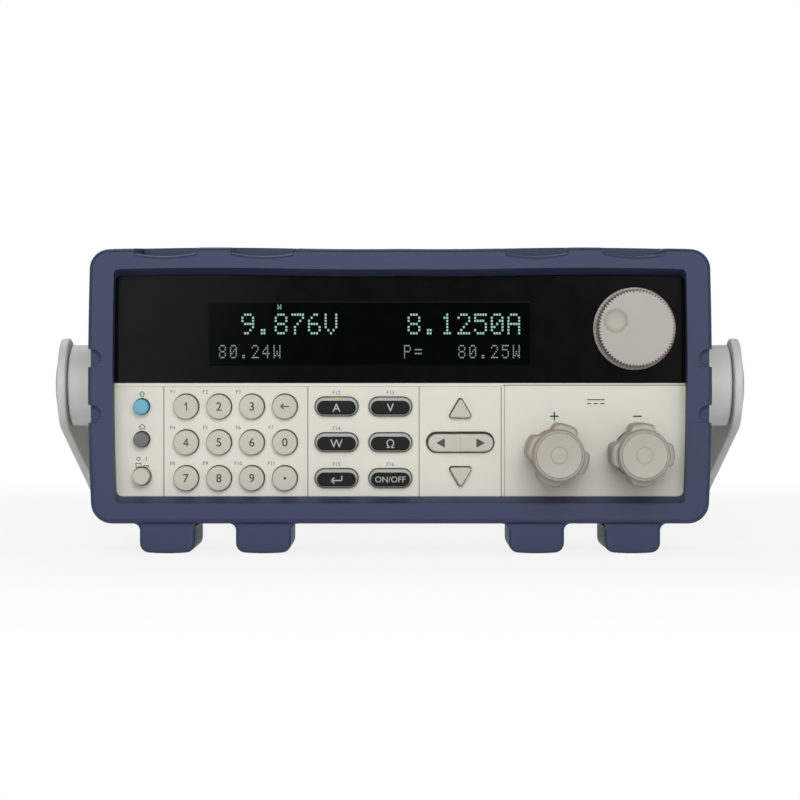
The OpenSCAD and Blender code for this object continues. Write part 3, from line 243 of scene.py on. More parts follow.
def finish_of(slot):
    """The finish of a material slot of the record, or of a print or light that only the scene has."""
    colours, _ = setup()
    dim, metal = linear("#26332E"), {"Metallic": 1.0}
    recipes = {
        # Moulded thermoplastic elastomer: satin, eroded mould texture that softens every highlight
        "slate_bumper": ("Moulded elastomer", colours.bumper, 0.52, 0.35, 0.02,
                         {"IOR": 1.5, "Specular IOR Level": 0.25}),
        # ABS from a fine-textured mould: matt with a soft bloom
        "ivory_plastic": ("Textured ivory ABS", colours.panel, 0.55, 0.3, 0.012, {"IOR": 1.52}),
        # Cast acrylic with an anti-glare coat: near black, hardly any reflection
        "black_acrylic": ("Coated black acrylic", linear("#060606"), 0.14, 6, 0.002,
                          {"IOR": 1.49, "Specular IOR Level": 0.06}),
        # Filter glass of the display: black with a breath of green
        "display_glass": ("Filter glass", linear("#020303"), 0.12, 6, 0.002,
                          {"IOR": 1.52, "Specular IOR Level": 0.03}),
        # Painted shade for the bottoms of the seams between the panel's fields, the gap round the plate and
        # the rocker's fold: the same ABS, greyed to stand in for the shade there
        "seam": ("Shaded ivory ABS", colours.seam, 0.6, 0.3, 0.006, {"IOR": 1.52}),
        # Silicone rubber keys with a matt lacquer
        "key_rubber": ("Lacquered silicone", colours.keys, 0.5, 0.4, 0.008, {"IOR": 1.43}),
        # Frosted polycarbonate light pipe round a function key
        "pill_plastic": ("Frosted polycarbonate", colours.pill_rim, 0.42, 0.4, 0.006,
                         {"IOR": 1.58, "Subsurface Weight": 0.15, "Subsurface Scale": 1.5 * MM}),
        # Pad-printed dark cap on that light pipe
        "pill_cap": ("Dark printed cap", colours.pill_cap, 0.45, 0.4, 0.006,
                     {"IOR": 1.5, "Specular IOR Level": 0.12}),
        # Dyed ABS buttons: satin
        "blue_plastic": ("Blue ABS", colours.shift, 0.42, 0.35, 0.008, {"IOR": 1.52}),
        "dark_grey_plastic": ("Dark grey ABS", colours.local, 0.45, 0.35, 0.008, {"IOR": 1.52}),
        # Moulded nylon knob: dry satin with a warm tone
        "knob_plastic": ("Moulded warm grey nylon", colours.knob, 0.5, 0.3, 0.012, {"IOR": 1.53}),
        "terminal_plastic": ("Moulded polyamide", colours.terminal, 0.48, 0.3, 0.012, {"IOR": 1.53}),
        # Polished polyamide collars of the terminals
        "red_plastic": ("Red polyamide", linear("#BF3A33"), 0.34, 0.5, 0.006, {"IOR": 1.53}),
        "black_gloss": ("Black polyamide", linear("#1B1B1C"), 0.3, 0.5, 0.006, {"IOR": 1.53}),
        # Glass-filled connector plastic: dull, finely pitted
        "black_plastic": ("Glass-filled nylon", linear("#202124"), 0.52, 0.3, 0.015, {"IOR": 1.53}),
        "green_plastic": ("Green polyamide", linear("#2F7F4A"), 0.45, 0.4, 0.01, {"IOR": 1.53}),
        # ABS handle from an eroded mould: light grey, matt, slightly grainy
        "handle_plastic": ("Textured grey ABS", colours.handle, 0.5, 0.35, 0.015, {"IOR": 1.52}),
        # Powder coat on the sheet-metal cover: fine orange peel
        "case_paint": ("Powder coat", colours.case, 0.5, 0.9, 0.03, {"IOR": 1.5}),
        "rear_paint": ("Rear powder coat", colours.rear, 0.5, 0.9, 0.03, {"IOR": 1.5}),
        # Passivated zinc on sheet and screws: pale, faintly clouded
        "zinc_plated_steel": ("Zinc-plated steel", linear("#B9BCBE"), 0.34, 4, 0.01, metal),
        # Nickelled turned steel: bright, with fine turning marks
        "plain_steel": ("Nickelled steel", linear("#B4B6B8"), 0.27, 0.4, 0.006, metal),
        # Nickelled brass studs and washers
        "stud_brass": ("Nickelled brass", linear("#C9BC94"), 0.3, 0.4, 0.006, metal),
        # Extruded aluminium: drawn lines along its length
        "sink_aluminium": ("Extruded aluminium", linear("#B5B8BA"), 0.36, 0.5, 0.015, metal),
        # Solder mask over glass-fibre laminate: the weave shows faintly
        "circuit_board": ("Solder mask", linear("#1F5A36"), 0.35, 0.8, 0.01, {"IOR": 1.55}),
        # Stack of varnished core sheets: layers of 0.5 mm drawn at 1 mm so that they show
        "laminated_core": ("Varnished core sheets", linear("#4A4540"), 0.5, 1.0, 0.06, {"Metallic": 0.3}),
        # Prints: matt ink, a few hundredths thick
        "legend": ("Dark ink", colours.legend, 0.5, 0.3, 0.002, {"IOR": 1.5}),
        "second_legend": ("Blue ink", colours.second_legend, 0.5, 0.3, 0.002, {"IOR": 1.5}),
        "pale_legend": ("Pale ink", linear("#A9ABA6"), 0.5, 0.3, 0.002, {"IOR": 1.5}),
        # Phosphor dots of a vacuum fluorescent display: they glow mint
        "phosphor": ("Lit phosphor", dim, 0.5, 0.3, 0.002,
                     {"Emission Color": (*colours.glow, 1), "Emission Strength": 0.72}),
        "faint_phosphor": ("Faint phosphor", dim, 0.5, 0.3, 0.002,
                           {"Emission Color": (*colours.faint_glow, 1), "Emission Strength": 0.4}),
        # Light pipe of the key in use: it glows yellow-green
        "lamp": ("Lit light pipe", linear("#8F9A45"), 0.4, 0.3, 0.002,
                 {"Emission Color": (*linear("#B5C544"), 1), "Emission Strength": 0.22}),
    }
    stretches = {"sink_aluminium": (1, 0.03, 1), "laminated_core": (0.02, 0.02, 1)}
    name, colour, roughness, grain, relief, sockets = recipes[slot]
    return finish(name, tuple(colour), roughness, grain, relief, stretches.get(slot, (1, 1, 1)), **sockets)


# Surfaces


def box_of(node):
    """Lowest and highest corner of a CAD node at rest, as arrays in millimetres."""
    return [np.array(corner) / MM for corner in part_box(node)]


def front_of(node, depth):
    """Box, in millimetres, of what a CAD node has within depth millimetres of its front, which faces -Y."""
    mesh = frame["nodes"][node].data
    points = np.empty(3 * len(mesh.vertices))
    mesh.vertices.foreach_get("co", points)
    points = points.reshape(-1, 3) / MM
    points = points[points[:, 1] < points[:, 1].min() + depth]
    return points.min(0), points.max(0)


def middle_of(node):
    """Middle of a CAD node's box, in millimetres."""
    return np.mean(box_of(node), 0)


def key_of(node):
    """A key's back and face, and its front's middle (x, z), half width and half height, in millimetres."""
    low, high = front_of(node, KEY_FRONT)
    half = (high - low) / 2
    return box_of(node)[1][1], low[1], (low + half)[[0, 2]], half[0], half[2]


def shell(points, ring=False):
    """A closed surface from a grid of points whose rows are closed. With ring the last row joins the first,
    otherwise a fan closes each end. The sign of the enclosed volume turns the faces outwards."""
    rows, columns, _ = points.shape
    vertices = points.reshape(-1, 3)
    r, c = np.indices((rows if ring else rows - 1, columns)).reshape(2, -1)
    s, d = (r + 1) % rows, (c + 1) % columns
    quads = np.stack([r * columns + c, r * columns + d, s * columns + d, s * columns + c], 1)
    fans = np.empty((0, 3), int)
    if not ring:
        vertices = np.concatenate([vertices, points[[0, -1]].mean(1)])
        c = np.arange(columns)
        d = (c + 1) % columns
        first, last = np.full(columns, rows * columns), np.full(columns, rows * columns + 1)
        end = (rows - 1) * columns
        fans = np.concatenate([np.stack([first, d, c], 1), np.stack([last, end + c, end + d], 1)])
    corners = vertices[np.concatenate([quads[:, :3], quads[:, [0, 2, 3]], fans])] - vertices.mean(0)
    if np.einsum("ij,ij->", corners[:, 0], np.cross(corners[:, 1], corners[:, 2])) < 0:
        quads, fans = quads[:, ::-1], fans[:, ::-1]
    return vertices, quads, fans


def put(name, shells, slot, body, cad_slot, replaced=()):
    """Joins closed surfaces in millimetres into one piece that rides on a body."""
    starts = np.cumsum([0] + [len(vertices) for vertices, _, _ in shells])
    faces = [face for start, (_, quads, fans) in zip(starts, shells)
             for face in (quads + start).tolist() + (fans + start).tolist()]
    mesh = bpy.data.meshes.new(name)
    mesh.from_pydata(np.concatenate([vertices for vertices, _, _ in shells]) * MM, [], faces)
    return place(name, mesh, slot, body, cad_slot, replaced)


def place(name, mesh, slot, body, cad_slot, replaced=()):
    """Gives a finished mesh its shading, finish and body."""
    mesh.shade_smooth()
    mesh.set_sharp_from_angle(angle=math.radians(34))
    mesh.materials.append(finish_of(slot))
    piece = linked(name, mesh)
    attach(piece, body)
    if replaced:
        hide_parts(*replaced)
    return piece


def polar(angle):
    """Directions of angles."""
    return np.stack([np.cos(angle), np.sin(angle)], 1)


def rim(core, steps):
    """Outline of a rounded shape as (feet, directions): feet + r * directions is the outline at radius r.
    Each corner of the convex core, counter-clockwise, is repeated for directions between its edge normals."""
    core = np.asarray(core, float)
    if len(core) == 1:
        angle = np.linspace(0, 2 * np.pi, 4 * steps, endpoint=False)
        feet = np.repeat(core, len(angle), 0)
    else:
        edge = np.roll(core, -1, 0) - core
        normal = np.arctan2(-edge[:, 0], edge[:, 1])
        before = np.roll(normal, 1)
        turn = (normal - before) % (2 * np.pi)
        angle = (before[:, None] + turn[:, None] * np.linspace(0, 1, steps)).ravel()
        feet = np.repeat(core, steps, 0)
    return feet, polar(angle)


def stacked(flat, y, centre):
    """A closed surface through flat outlines (x, z) about a centre, each at its own y."""
    y = np.broadcast_to(y[:, None], flat.shape[:2])
    return shell(np.stack([flat[..., 0] + centre[0], y, flat[..., 1] + centre[1]], 2))


def raised(outline, profile, centre):
    """A block that faces -Y: the outline, widened to each radius of the (radius, y) profile."""
    feet, directions = outline
    radius, y = np.asarray(profile, float).T
    return stacked(feet + radius[:, None, None] * directions, y, centre)


def crown(radius, back, front, edge, inner):
    """Profile of a key as (radius, y): up its side, round a quarter circle and in over its face."""
    turn = np.linspace(0, np.pi / 2, 7)
    arc = np.stack([radius - edge + edge * np.cos(turn), front + edge - edge * np.sin(turn)], 1)
    return np.concatenate([[(radius, back)], arc, [(inner, front)]])


def stepped(foot_r, back, step, radius, front, edge, inner):
    """Profile of a key on a foot: the foot's radius from back to step, then a crown."""
    return [(foot_r, back), (foot_r, step), (radius, step), *crown(radius, step, front, edge, inner)[1:]]


def turned(profile, centre, axis, steps):
    """The (radius, distance) profile carried once round a line along axis (0 for X, 1 for Y)."""
    radius, along = np.asarray(profile, float).T
    angle = np.linspace(0, 2 * np.pi, steps, endpoint=False)
    across, up = radius[:, None] * np.cos(angle), radius[:, None] * np.sin(angle)
    along = np.broadcast_to(along[:, None], across.shape)
    parts = (along, across, up) if axis == 0 else (across, along, up)
    return np.stack(parts, 2) + np.asarray(centre, float)


def smooth(low, high, value):
    """Smoothstep: 3 t^2 - 2 t^3 of the way from low to high."""
    t = np.clip((value - low) / (high - low), 0, 1)
    return t * t * (3 - 2 * t)


def round_edge(steps):
    """A quarter turn as (run, rise): 1 - sin and 1 - cos of the angle, from the face to the side."""
    turn = np.linspace(0, np.pi / 2, steps)
    return 1 - np.sin(turn), 1 - np.cos(turn)


# Bumpers


def bumper_stations(half_w, half_h, r, feet_x, pocket_x, foot, pockets, scoops):
    """The stops round the bumper's outline, counter-clockwise from the lower left corner, as arrays: core
    point and direction of the plain outline, place and direction on a foot, which stops belong to a foot,
    and the depths of the stacking pockets and side scoops there."""
    a, height, flare, fr, foot_crown = foot
    pocket_w, pocket_d, pocket_sag = pockets
    scoop_z, scoop_r = scoops
    core_x, core_z = half_w - r, half_h - r

    turn = np.linspace(0, np.pi / 2, 6)
    left_flare = np.stack([-a - flare + flare * np.sin(turn), -flare + flare * np.cos(turn)], 1)
    wall = np.stack([np.full(3, -a), np.linspace(-flare, fr - height, 5)[1:-1]], 1)
    corner = np.stack([fr - a - fr * np.cos(turn), fr - height - fr * np.sin(turn)], 1)
    half = np.concatenate([left_flare, wall, corner])
    half_n = np.concatenate([-polar(turn)[:, ::-1], np.tile([-1.0, 0.0], (3, 1)), -polar(turn)])
    base = np.linspace(fr - a, a - fr, 11)[1:-1]
    path = np.concatenate([half, np.stack([base, np.full(9, -height)], 1), half[::-1] * (-1, 1)])
    path_n = np.concatenate([half_n, np.tile([0.0, -1.0], (9, 1)), half_n[::-1] * (-1, 1)])
    path[:, 1] += foot_crown * (path[:, 0] / a) ** 2 * smooth(0, 0.5 * height, -path[:, 1])
    step = np.linalg.norm(np.diff(path, axis=0), axis=1)
    share = np.concatenate([[0], np.cumsum(step)]) / step.sum()
    spread = (2 * share - 1) * (a + flare)

    plain, foot_at, foot_n, in_foot = [], [], [], []
    ends = [-core_x] + [x + side * (a + flare) for x in feet_x for side in (-1, 1)] + [core_x]
    for i in range(len(ends) - 1):
        if i % 2:
            plain.append(feet_x[i // 2] + spread)
            foot_at.append(path + (feet_x[i // 2], -half_h))
            foot_n.append(path_n)
            in_foot.append(np.ones(len(path)))
        else:
            x = np.linspace(ends[i], ends[i + 1], 3 + int((ends[i + 1] - ends[i]) / 3))[1:-1]
            plain.append(x)
            foot_at.append(np.stack([x, np.full(len(x), -half_h)], 1))
            foot_n.append(np.tile([0.0, -1.0], (len(x), 1)))
            in_foot.append(np.zeros(len(x)))
    bottom_x = np.concatenate(plain)
    arc = np.linspace(0, np.pi / 2, 9)

    def stops(end, count, places, near, half):
        """Even stops from -end to end, with finer ones in their stead within half of each place."""
        fine = np.concatenate([place + near for place in places]).round(4)
        every = np.unique(np.concatenate([np.linspace(-end, end, count)[1:-1].round(4), fine]))
        hidden = np.min(np.abs(every[:, None] - places), 1) <= half + 0.03
        return every[~hidden | np.isin(every, fine)]

    near = np.concatenate([np.linspace(-1, 1, 41) * scoop_r, [-scoop_r - 0.02, scoop_r + 0.02]])
    side_z = stops(core_z, 30, scoop_z, near, scoop_r)
    steep = pocket_w / 2 - np.linspace(0, 0.5, 6)
    near = np.concatenate([-steep, np.linspace(-1, 1, 17) * (pocket_w / 2 - 0.7), steep])
    top_x = stops(core_x, 90, pocket_x, near, pocket_w / 2)[::-1]

    def run(points, direction):
        return points, np.tile(np.array(direction, float), (len(points), 1))

    def bend(x, z, start):
        return np.tile([x, z], (9, 1)), polar(start + arc)

    pieces = [
        run(np.stack([bottom_x, np.full(len(bottom_x), -core_z)], 1), (0, -1)),
        bend(core_x, -core_z, -np.pi / 2),
        run(np.stack([np.full(len(side_z), core_x), side_z], 1), (1, 0)),
        bend(core_x, core_z, 0),
        run(np.stack([top_x, np.full(len(top_x), core_z)], 1), (0, 1)),
        bend(-core_x, core_z, np.pi / 2),
        run(np.stack([np.full(len(side_z), -core_x), side_z[::-1]], 1), (-1, 0)),
        bend(-core_x, -core_z, np.pi),
    ]
    core = np.concatenate([p for p, _ in pieces])
    direction = np.concatenate([d for _, d in pieces])
    n, m = len(core), len(bottom_x)
    foot_place, foot_normal, footed = core + r * direction, direction.copy(), np.zeros(n)
    foot_place[:m], foot_normal[:m] = np.concatenate(foot_at), np.concatenate(foot_n)
    footed[:m] = np.concatenate(in_foot)

    off = np.min(np.abs(core[:, :1] - pocket_x), 1)
    on_top = (direction[:, 1] > 0.999) & (off <= pocket_w / 2 + 0.001)
    sunk = pocket_d - pocket_sag * (2 * off / pocket_w) ** 2
    pocket = np.where(on_top, sunk, 0) * smooth(0, 0.5, pocket_w / 2 - off)
    off = np.min(np.abs(core[:, 1:] - scoop_z), 1)
    on_side = (np.abs(direction[:, 0]) > 0.999) & (off <= scoop_r + 0.001)
    scoop = np.where(on_side, np.sqrt(np.maximum(scoop_r ** 2 - off ** 2, 0)), -1)
    return core, direction, foot_place, foot_normal, footed, pocket, scoop


def bumper(sizes, front, mirror):
    """A bumper as a grid of rows by stops, closed both ways: lip behind the window, bevel of the window,
    front face, rounded edge, side with feet, pockets and scoops, rear edge, case seat."""
    half_w, half_h, r, middle, grip, lip = 111.2, 49.05, 7.1, 59.75, 44.0, 9.0
    window_x, window_z, window_r = 102.5, 39.6, 2.0
    bevel_x, bevel_z, bevel_end = -0.2, 2.2, 6.0
    notch, scoop_d, scoop_r, scoop_z, scoop_flare = 0.85, 2.6, 3.15, np.array([-9.95, 9.95]), 1.3
    bow, low_bow, crest_x, crest_w = 0.8, 1.4, 66, 52
    foot_front, foot_edge, foot_rear, foot_rear_edge = 2.5, 1.1, 2.0, 0.8
    pocket_end, rear_edge, step = grip - 6.0, 1.0, 0.02
    case_x, case_z, case_r = 107.3, 44.15, 2.0
    # Half width, height, flare at the root, corner radius and crown of a foot
    # Width, depth and sag of a pocket
    feet_x, foot = np.array([-83.0, -48.7, 48.7, 83.0]), (9.85, 10.7, 2.7, 3.0, sizes["foot_crown"])
    pocket_x, pockets = np.array([-84.0, -49.4, 49.1, 83.9]), (22.8, 2.9, 1.3)
    reach, depth = sizes["bumper_round"], sizes["bumper_round_depth"]
    core, direction, foot_at, foot_n, footed, pocket, scoop = bumper_stations(
        half_w, half_h, r, feet_x, pocket_x, foot, pockets, (scoop_z, scoop_r))
    level = np.ones(len(core))
    inside = scoop >= 0
    into = notch + scoop_flare * np.maximum(scoop, 0)
    edge_of = depth * (1 - np.sqrt(1 - np.clip(1 - into / reach, 0, 1) ** 2))
    wave = sizes["bumper_wave"] * np.cos(np.pi * (np.abs(core[:, 0]) - crest_x) / crest_w)

    def outline(x, z, radius):
        """A rounded rectangle through the same stops: unchanged along a side, drawn in near its ends."""
        off, full, keep = np.abs(core), np.array((half_w - r, half_h - r)), np.array((95.8, 20.0))
        ends = keep + (off - keep) * (np.array((x, z)) - radius - keep) / (full - keep)
        return np.sign(core) * np.where(off < keep, off, ends) + radius * direction

    def bowed(flat, z):
        """Sides that lean in by the square of the height, more at the foot than at the top."""
        lean = np.where(z > 0, bow, low_bow) * (z / half_h) ** 2
        return np.stack([flat[:, 0] * (1 - lean / half_w), flat[:, 1]], 1)

    def waved(flat, rise):
        """The top raised by rise."""
        return np.stack([flat[:, 0], flat[:, 1] + rise * np.maximum(direction[:, 1], 0)], 1)

    def window_row(x, z, radius):
        flat = outline(x, z, radius)
        return bowed(waved(flat, wave), flat[:, 1])

    def outer(inset, hollow, foot_weight, foot_inset, back=0.0):
        """The outer outline less an inset: bowed sides, a top that waves and rises to the back, and pockets
        and feet where they are asked."""
        plain = core + (r - inset - hollow * pocket)[:, None] * direction
        rise = wave + sizes["bumper_rise"] * (1 - hollow * (pocket > 0)) * min(back / pocket_end, 1)
        plain = bowed(waved(plain, rise), core[:, 1] + r * direction[:, 1])
        weight = (footed * foot_weight)[:, None]
        return plain * (1 - weight) + (foot_at - foot_inset * foot_n) * weight

    seat = outline(case_x, case_z, case_r)
    rows = [(seat, lip * level),
            (window_row(window_x, window_z, window_r), lip * level),
            (window_row(window_x, window_z, window_r), bevel_end * level),
            (window_row(window_x + bevel_x, window_z + bevel_z, window_r + bevel_x), 0 * level)]
    first = outer(np.where(inside, into, reach + 0.15), 1, 0, 0)
    rows.append(((rows[-1][0] + first) / 2, 0 * level))
    rows.append((first, np.where(inside, edge_of, 0)))
    for run, rise in zip(*round_edge(8)):
        rows.append((outer(np.where(inside, notch + (into - notch) * run, reach * run), 1, 0, 0),
                     np.where(inside, scoop_d, depth * rise)))
    side = np.where(inside, notch, 0)
    back = np.where(inside, scoop_d + step, 0)
    rows.append((outer(side, 1, 0, 0), np.maximum(foot_front, back)))
    for run, rise in zip(*round_edge(6)):
        y = np.maximum(foot_front + step / 2 + foot_edge * rise, back + step / 2)
        rows.append((outer(side, 1, 1, foot_edge * run), y))
    for y in (14, 26, pocket_end):
        rows.append((outer(side, 1, 1, 0, y), y * level))
    rows.append((outer(side, 0, 1, 0, grip), (pocket_end + step) * level))
    turn = list(zip(*(a[::-1] for a in round_edge(5))))
    for run, rise in turn:
        y = grip - foot_rear - foot_rear_edge * rise
        rows.append((outer(side, 0, 1, foot_rear_edge * run, grip), y * level))
    rows.append((outer(side, 0, 0, 0, grip), (grip - foot_rear + step) * level))
    for run, rise in turn:
        rows.append((outer(side + rear_edge * run, 0, 0, 0, grip), (grip - rear_edge * rise) * level))
    rows.append((seat, grip * level))
    flat = np.stack([place for place, _ in rows])
    y = np.stack([y for _, y in rows])
    y = front - y if mirror else front + y
    return shell(np.stack([flat[..., 0], y, flat[..., 1] + middle], 2), ring=True)


class DCLOAD_OT_bumpers(bpy.types.Operator):
    """Moulds the two bumpers with their feet, stacking pockets, scoops and rounded edges"""

    bl_idname = "dc_load.bumpers"
    bl_label = "Bumpers"

    def execute(self, context):
        _, sizes = setup()
        for node, mirror in (("front_bumper", False), ("rear_bumper", True)):
            low, high = box_of(node)
            put("moulded_" + node, [bumper(sizes, high[1] if mirror else low[1], mirror)], "slate_bumper",
                "instrument", "slate_bumper", [node])
        return {"FINISHED"}


# Handle


def handle_arm(sizes, inner, outer, pivot, far, radii, recess_r, bore_r, side):
    """One arm as a grid closed both ways. Its outline is two circles joined by their tangents; smaller
    circles give each row of the rounded edge and the dome, then follow the screw's recess and the bore."""
    near_r, far_r = radii
    reach = far - pivot
    length = np.hypot(*reach)
    lean = np.arctan2(reach[1], reach[0])
    half = np.arccos((near_r - far_r) / length)
    near_turn = np.linspace(lean + half, lean - half + 2 * np.pi, 49)
    far_turn = np.linspace(lean - half, lean + half, 25)
    share = np.linspace(0, 1, 14)[1:-1, None]

    def outline(inset):
        near = pivot + (near_r - inset) * polar(near_turn)
        end = far + (far_r - inset) * polar(far_turn)
        there, back = near[-1] + (end[0] - near[-1]) * share, end[-1] + (near[0] - end[-1]) * share
        return np.concatenate([near, there, end, back])

    edge = outline(0) - pivot
    circle = polar(np.arctan2(edge[:, 1], edge[:, 0]))
    fillet, shoulder, floor = 0.8, 5.8, outer - 1
    bend = np.linspace(0, 1.2, 5)
    inset, height = fillet * (1 - np.cos(bend)), outer - sizes["handle_dome"] - fillet * (1 - np.sin(bend))
    dome = np.linspace(0, 1, 9)[1:]
    inset = np.concatenate([inset, inset[-1] + (shoulder - inset[-1]) * dome])
    height = np.concatenate([height, height[-1] + 0.5 * (outer - height[-1]) * dome])
    rows = [(pivot + bore_r * circle, inner)]
    rows += [(outline(fillet * run), inner + fillet * rise) for run, rise in zip(*round_edge(5))]
    rows += [(outline(off), x) for off, x in zip(inset, height)]
    rows += [(pivot + radius * circle, x) for radius, x in (
        (recess_r + 0.4, outer - 0.1), (recess_r, outer - 0.4), (recess_r, floor), (bore_r, floor))]
    flat = np.stack([place for place, _ in rows])
    x = np.broadcast_to(np.array([x for _, x in rows])[:, None], flat.shape[:2])
    return shell(np.stack([side * x, flat[..., 0], flat[..., 1]], 2), ring=True)


class DCLOAD_OT_handle(bpy.types.Operator):
    """Moulds the handle's domed arms, its crossbar and the hubs that it turns on"""

    bl_idname = "dc_load.handle"
    bl_label = "Handle and hubs"

    def execute(self, context):
        _, sizes = setup()
        low, high = box_of("carry_handle")
        hub_low, hub_high = box_of("pivot_hubs")
        near_r, far_r, bar_r, recess_r, arm_bore = 17.8, 6.5, 6.0, 7.4, 4.05
        outer, inner = high[0] - 1, high[0] - 6
        pivot = np.array([low[1] + near_r, (hub_low[2] + hub_high[2]) / 2])
        far = np.array([high[1] - far_r, low[2] + far_r])
        shape = (inner, outer, pivot, far, (near_r, far_r), recess_r, arm_bore)
        arms = [handle_arm(sizes, *shape, side) for side in (-1, 1)]
        put("handle_arms", arms, "handle_plastic", "handle", "handle_plastic", ["carry_handle"])
        end = 0.05 * np.linspace(0.02, 1, 10)
        along = np.concatenate([[-1.0], end - 1, np.linspace(-0.9, 0.9, 19), 1 - end[::-1], [1.0]])
        along *= inner + 0.5
        flare = 0.45 * smooth(inner - 9, inner, np.abs(along))
        put("handle_crossbar", [shell(turned(np.stack([bar_r + flare, along], 1), (0, *far), 0, 48))],
            "handle_plastic", "handle", "handle_plastic")
        hub_r, neck_r, bore, edge = hub_high[2] - pivot[1], 13.35, 4.15, 0.5
        start, end = 107.25, hub_high[0]
        profile = [(bore, start), (hub_r, start)]
        profile += [(hub_r - edge * (1 - np.cos(t)), end - 2 * edge + edge * np.sin(t))
                    for t in np.linspace(0, np.pi / 2, 6)]
        profile += [(neck_r, end - edge), (neck_r, end), (bore, end)]
        hubs = [shell(turned(profile, (0, *pivot), 0, 96) * (side, 1, 1), ring=True) for side in (-1, 1)]
        put("turned_hubs", hubs, "handle_plastic", "instrument", "handle_plastic", ["pivot_hubs"])
        shank, nut, head, drive = 4.0, 6.6, 7.0, 3.2
        tip, nut_start, nut_end, under, top = 101.0, 102.05, 106.05, outer - 0.95, outer + 0.02
        profile = [(0.5, tip), (shank, tip), (shank, nut_start), (nut, nut_start), (nut, nut_end),
                   (shank, nut_end), (shank, under), (head, under), (head, top - 0.5),
                   (head - 0.5, top - 0.1), (drive + 1, top), (drive, top), (drive, top - 0.6),
                   (0.5, top - 0.6)]
        screws = [shell(turned(profile, (0, *pivot), 0, 48) * (side, 1, 1)) for side in (-1, 1)]
        put("turned_pivot_screws", screws, "plain_steel", "instrument", "plain_steel", ["pivot_screws"])
        return {"FINISHED"}


# Panel and display


def trapezium(top, bottom, half_h):
    """Corners of an upright trapezium, counter-clockwise."""
    return [(-bottom, -half_h), (bottom, -half_h), (top, half_h), (-top, half_h)]


def slab(centre, half_w, half_h, r, back, front, edge=0.05):
    """A thin rounded rectangle that faces -Y."""
    core = trapezium(half_w - r, half_w - r, half_h - r)
    return raised(rim(core, 6), crown(r, back, front, edge, max(r - edge, 0.02) * 0.5), centre)


class DCLOAD_OT_panel(bpy.types.Operator):
    """Lays grey strips of painted shade in the front panel's seams and round its plate, the beading, and the
    display's filter window
    """

    bl_idname = "dc_load.panel"
    bl_label = "Panel trim"

    def execute(self, context):
        lens, face = box_of("display_lens")[0], box_of("front_bezel")[0][1]
        head = lens[2] - LEDGE_DROP
        middle, half = (WINDOW_FOOT + head) / 2, (head - WINDOW_FOOT) / 2
        low, high = front_of("input_plate", 1)
        edge, plate_half, gap, line = low[0], (high[0] - low[0]) / 2, 0.25, 0.22
        # Corner radius, back, front and edge of what lies in a groove and in the gap round the plate
        groove, gap_floor = (0.1, face + 0.39, face + 0.1, 0.02), (0.1, face + 0.8, face + 0.2, 0.02)
        # Painted shade: grey strips on the groove floors, a thin grey line beside the plate and grey floors
        # in the gap round it
        seam_shades = [slab((x, middle), line, half, *groove) for x in DIVIDERS]
        seam_shades += [slab((edge - 1.3, middle), 0.17, half, 0.05, face + 0.1, face - 0.01, 0.005),
                  slab((edge - gap, middle), line, half, *gap_floor),
                  slab((edge + plate_half, high[2] + gap), plate_half, line, *gap_floor)]
        put("panel_seam_shade", seam_shades, "seam", "instrument", "ivory_plastic")
        beading = slab((edge - 0.64, middle), 0.44, half, 0.2, face + 0.1, face - 0.08, 0.08)
        put("plate_beading", [beading], "ivory_plastic", "instrument", "ivory_plastic")
        centre = middle_of("display_module")[[0, 2]]
        window = slab(centre, 58.05, 11.55, 1.2, lens[1] + 0.1, lens[1] - GLASS_RISE)
        put("display_window", [window], "display_glass", "instrument", "display_glass")
        return {"FINISHED"}


class DCLOAD_OT_display(bpy.types.Operator):
    """Lights the display: two rows of five by seven dot characters"""

    bl_idname = "dc_load.display"
    bl_label = "Display characters"

    def execute(self, context):
        _, sizes = setup()
        large, small = (5.98, 0.955, 1.115, 0.66, 0.74), (3.913, 0.515, 0.708, 0.37, 0.46)
        tiny = (2.0, 0.26, 0.26, 0.22, 0.22)
        # Text, start right of the display's middle, height above it, measures
        lines = [("9.876V", -45.99, 3.41, large), ("8.1250A", 13.71, 3.41, large), ("W", -33.0, 9.55, tiny)]
        faint_lines = [("80.24W", -54.03, -6.53, small), ("P=   80.25W", 12.39, -6.53, small)]
        for name, slot, rows in (("display_characters", "phosphor", lines),
                                 ("display_faint_characters", "faint_phosphor", faint_lines)):
            shells = [self.line(sizes["dot_relief"], *row) for row in rows]
            put(name, shells, slot, "instrument", "display_glass")
        return {"FINISHED"}

    def line(self, relief, text, start, up, measures):
        """One line of characters: a dot wherever a row's bit of that letter is set. The measures are a
        cell's width, the dots' pitch across and down, and a dot's width and height."""
        cell, across, down, dot_w, dot_h = measures
        centre, face = middle_of("display_module"), box_of("display_lens")[0][1] - GLASS_RISE
        bits = np.array([DOT_ROWS[letter] for letter in text])
        letter, row, column = np.nonzero((bits[:, :, None] >> np.arange(4, -1, -1)) & 1)
        x = centre[0] + start + letter * cell + column * across + dot_w / 2
        z = centre[2] + up + (3 - row) * down
        return dots(x, z, dot_w / 2, dot_h / 2, face + 0.03, face - relief)


def dots(x, z, half_w, half_h, back, front):
    """Many small blocks at once: the eight corners and six sides of one, repeated at each x and z."""
    sign = np.array([(-1, -1), (1, -1), (1, 1), (-1, 1)], float)
    flat = np.stack([x, z], 1)[:, None] + sign * (half_w, half_h)
    flat = np.concatenate([flat, flat], 1)
    y = np.broadcast_to(np.repeat([back, front], 4), flat.shape[:2])
    vertices = np.stack([flat[..., 0], y, flat[..., 1]], 2).reshape(-1, 3)
    sides = np.array([(3, 2, 1, 0), (4, 5, 6, 7), (1, 5, 4, 0), (2, 6, 5, 1), (3, 7, 6, 2), (0, 4, 7, 3)])
    quads = (np.arange(len(x))[:, None, None] * 8 + sides).reshape(-1, 4)
    return vertices, quads, np.empty((0, 3), int)


# Keys


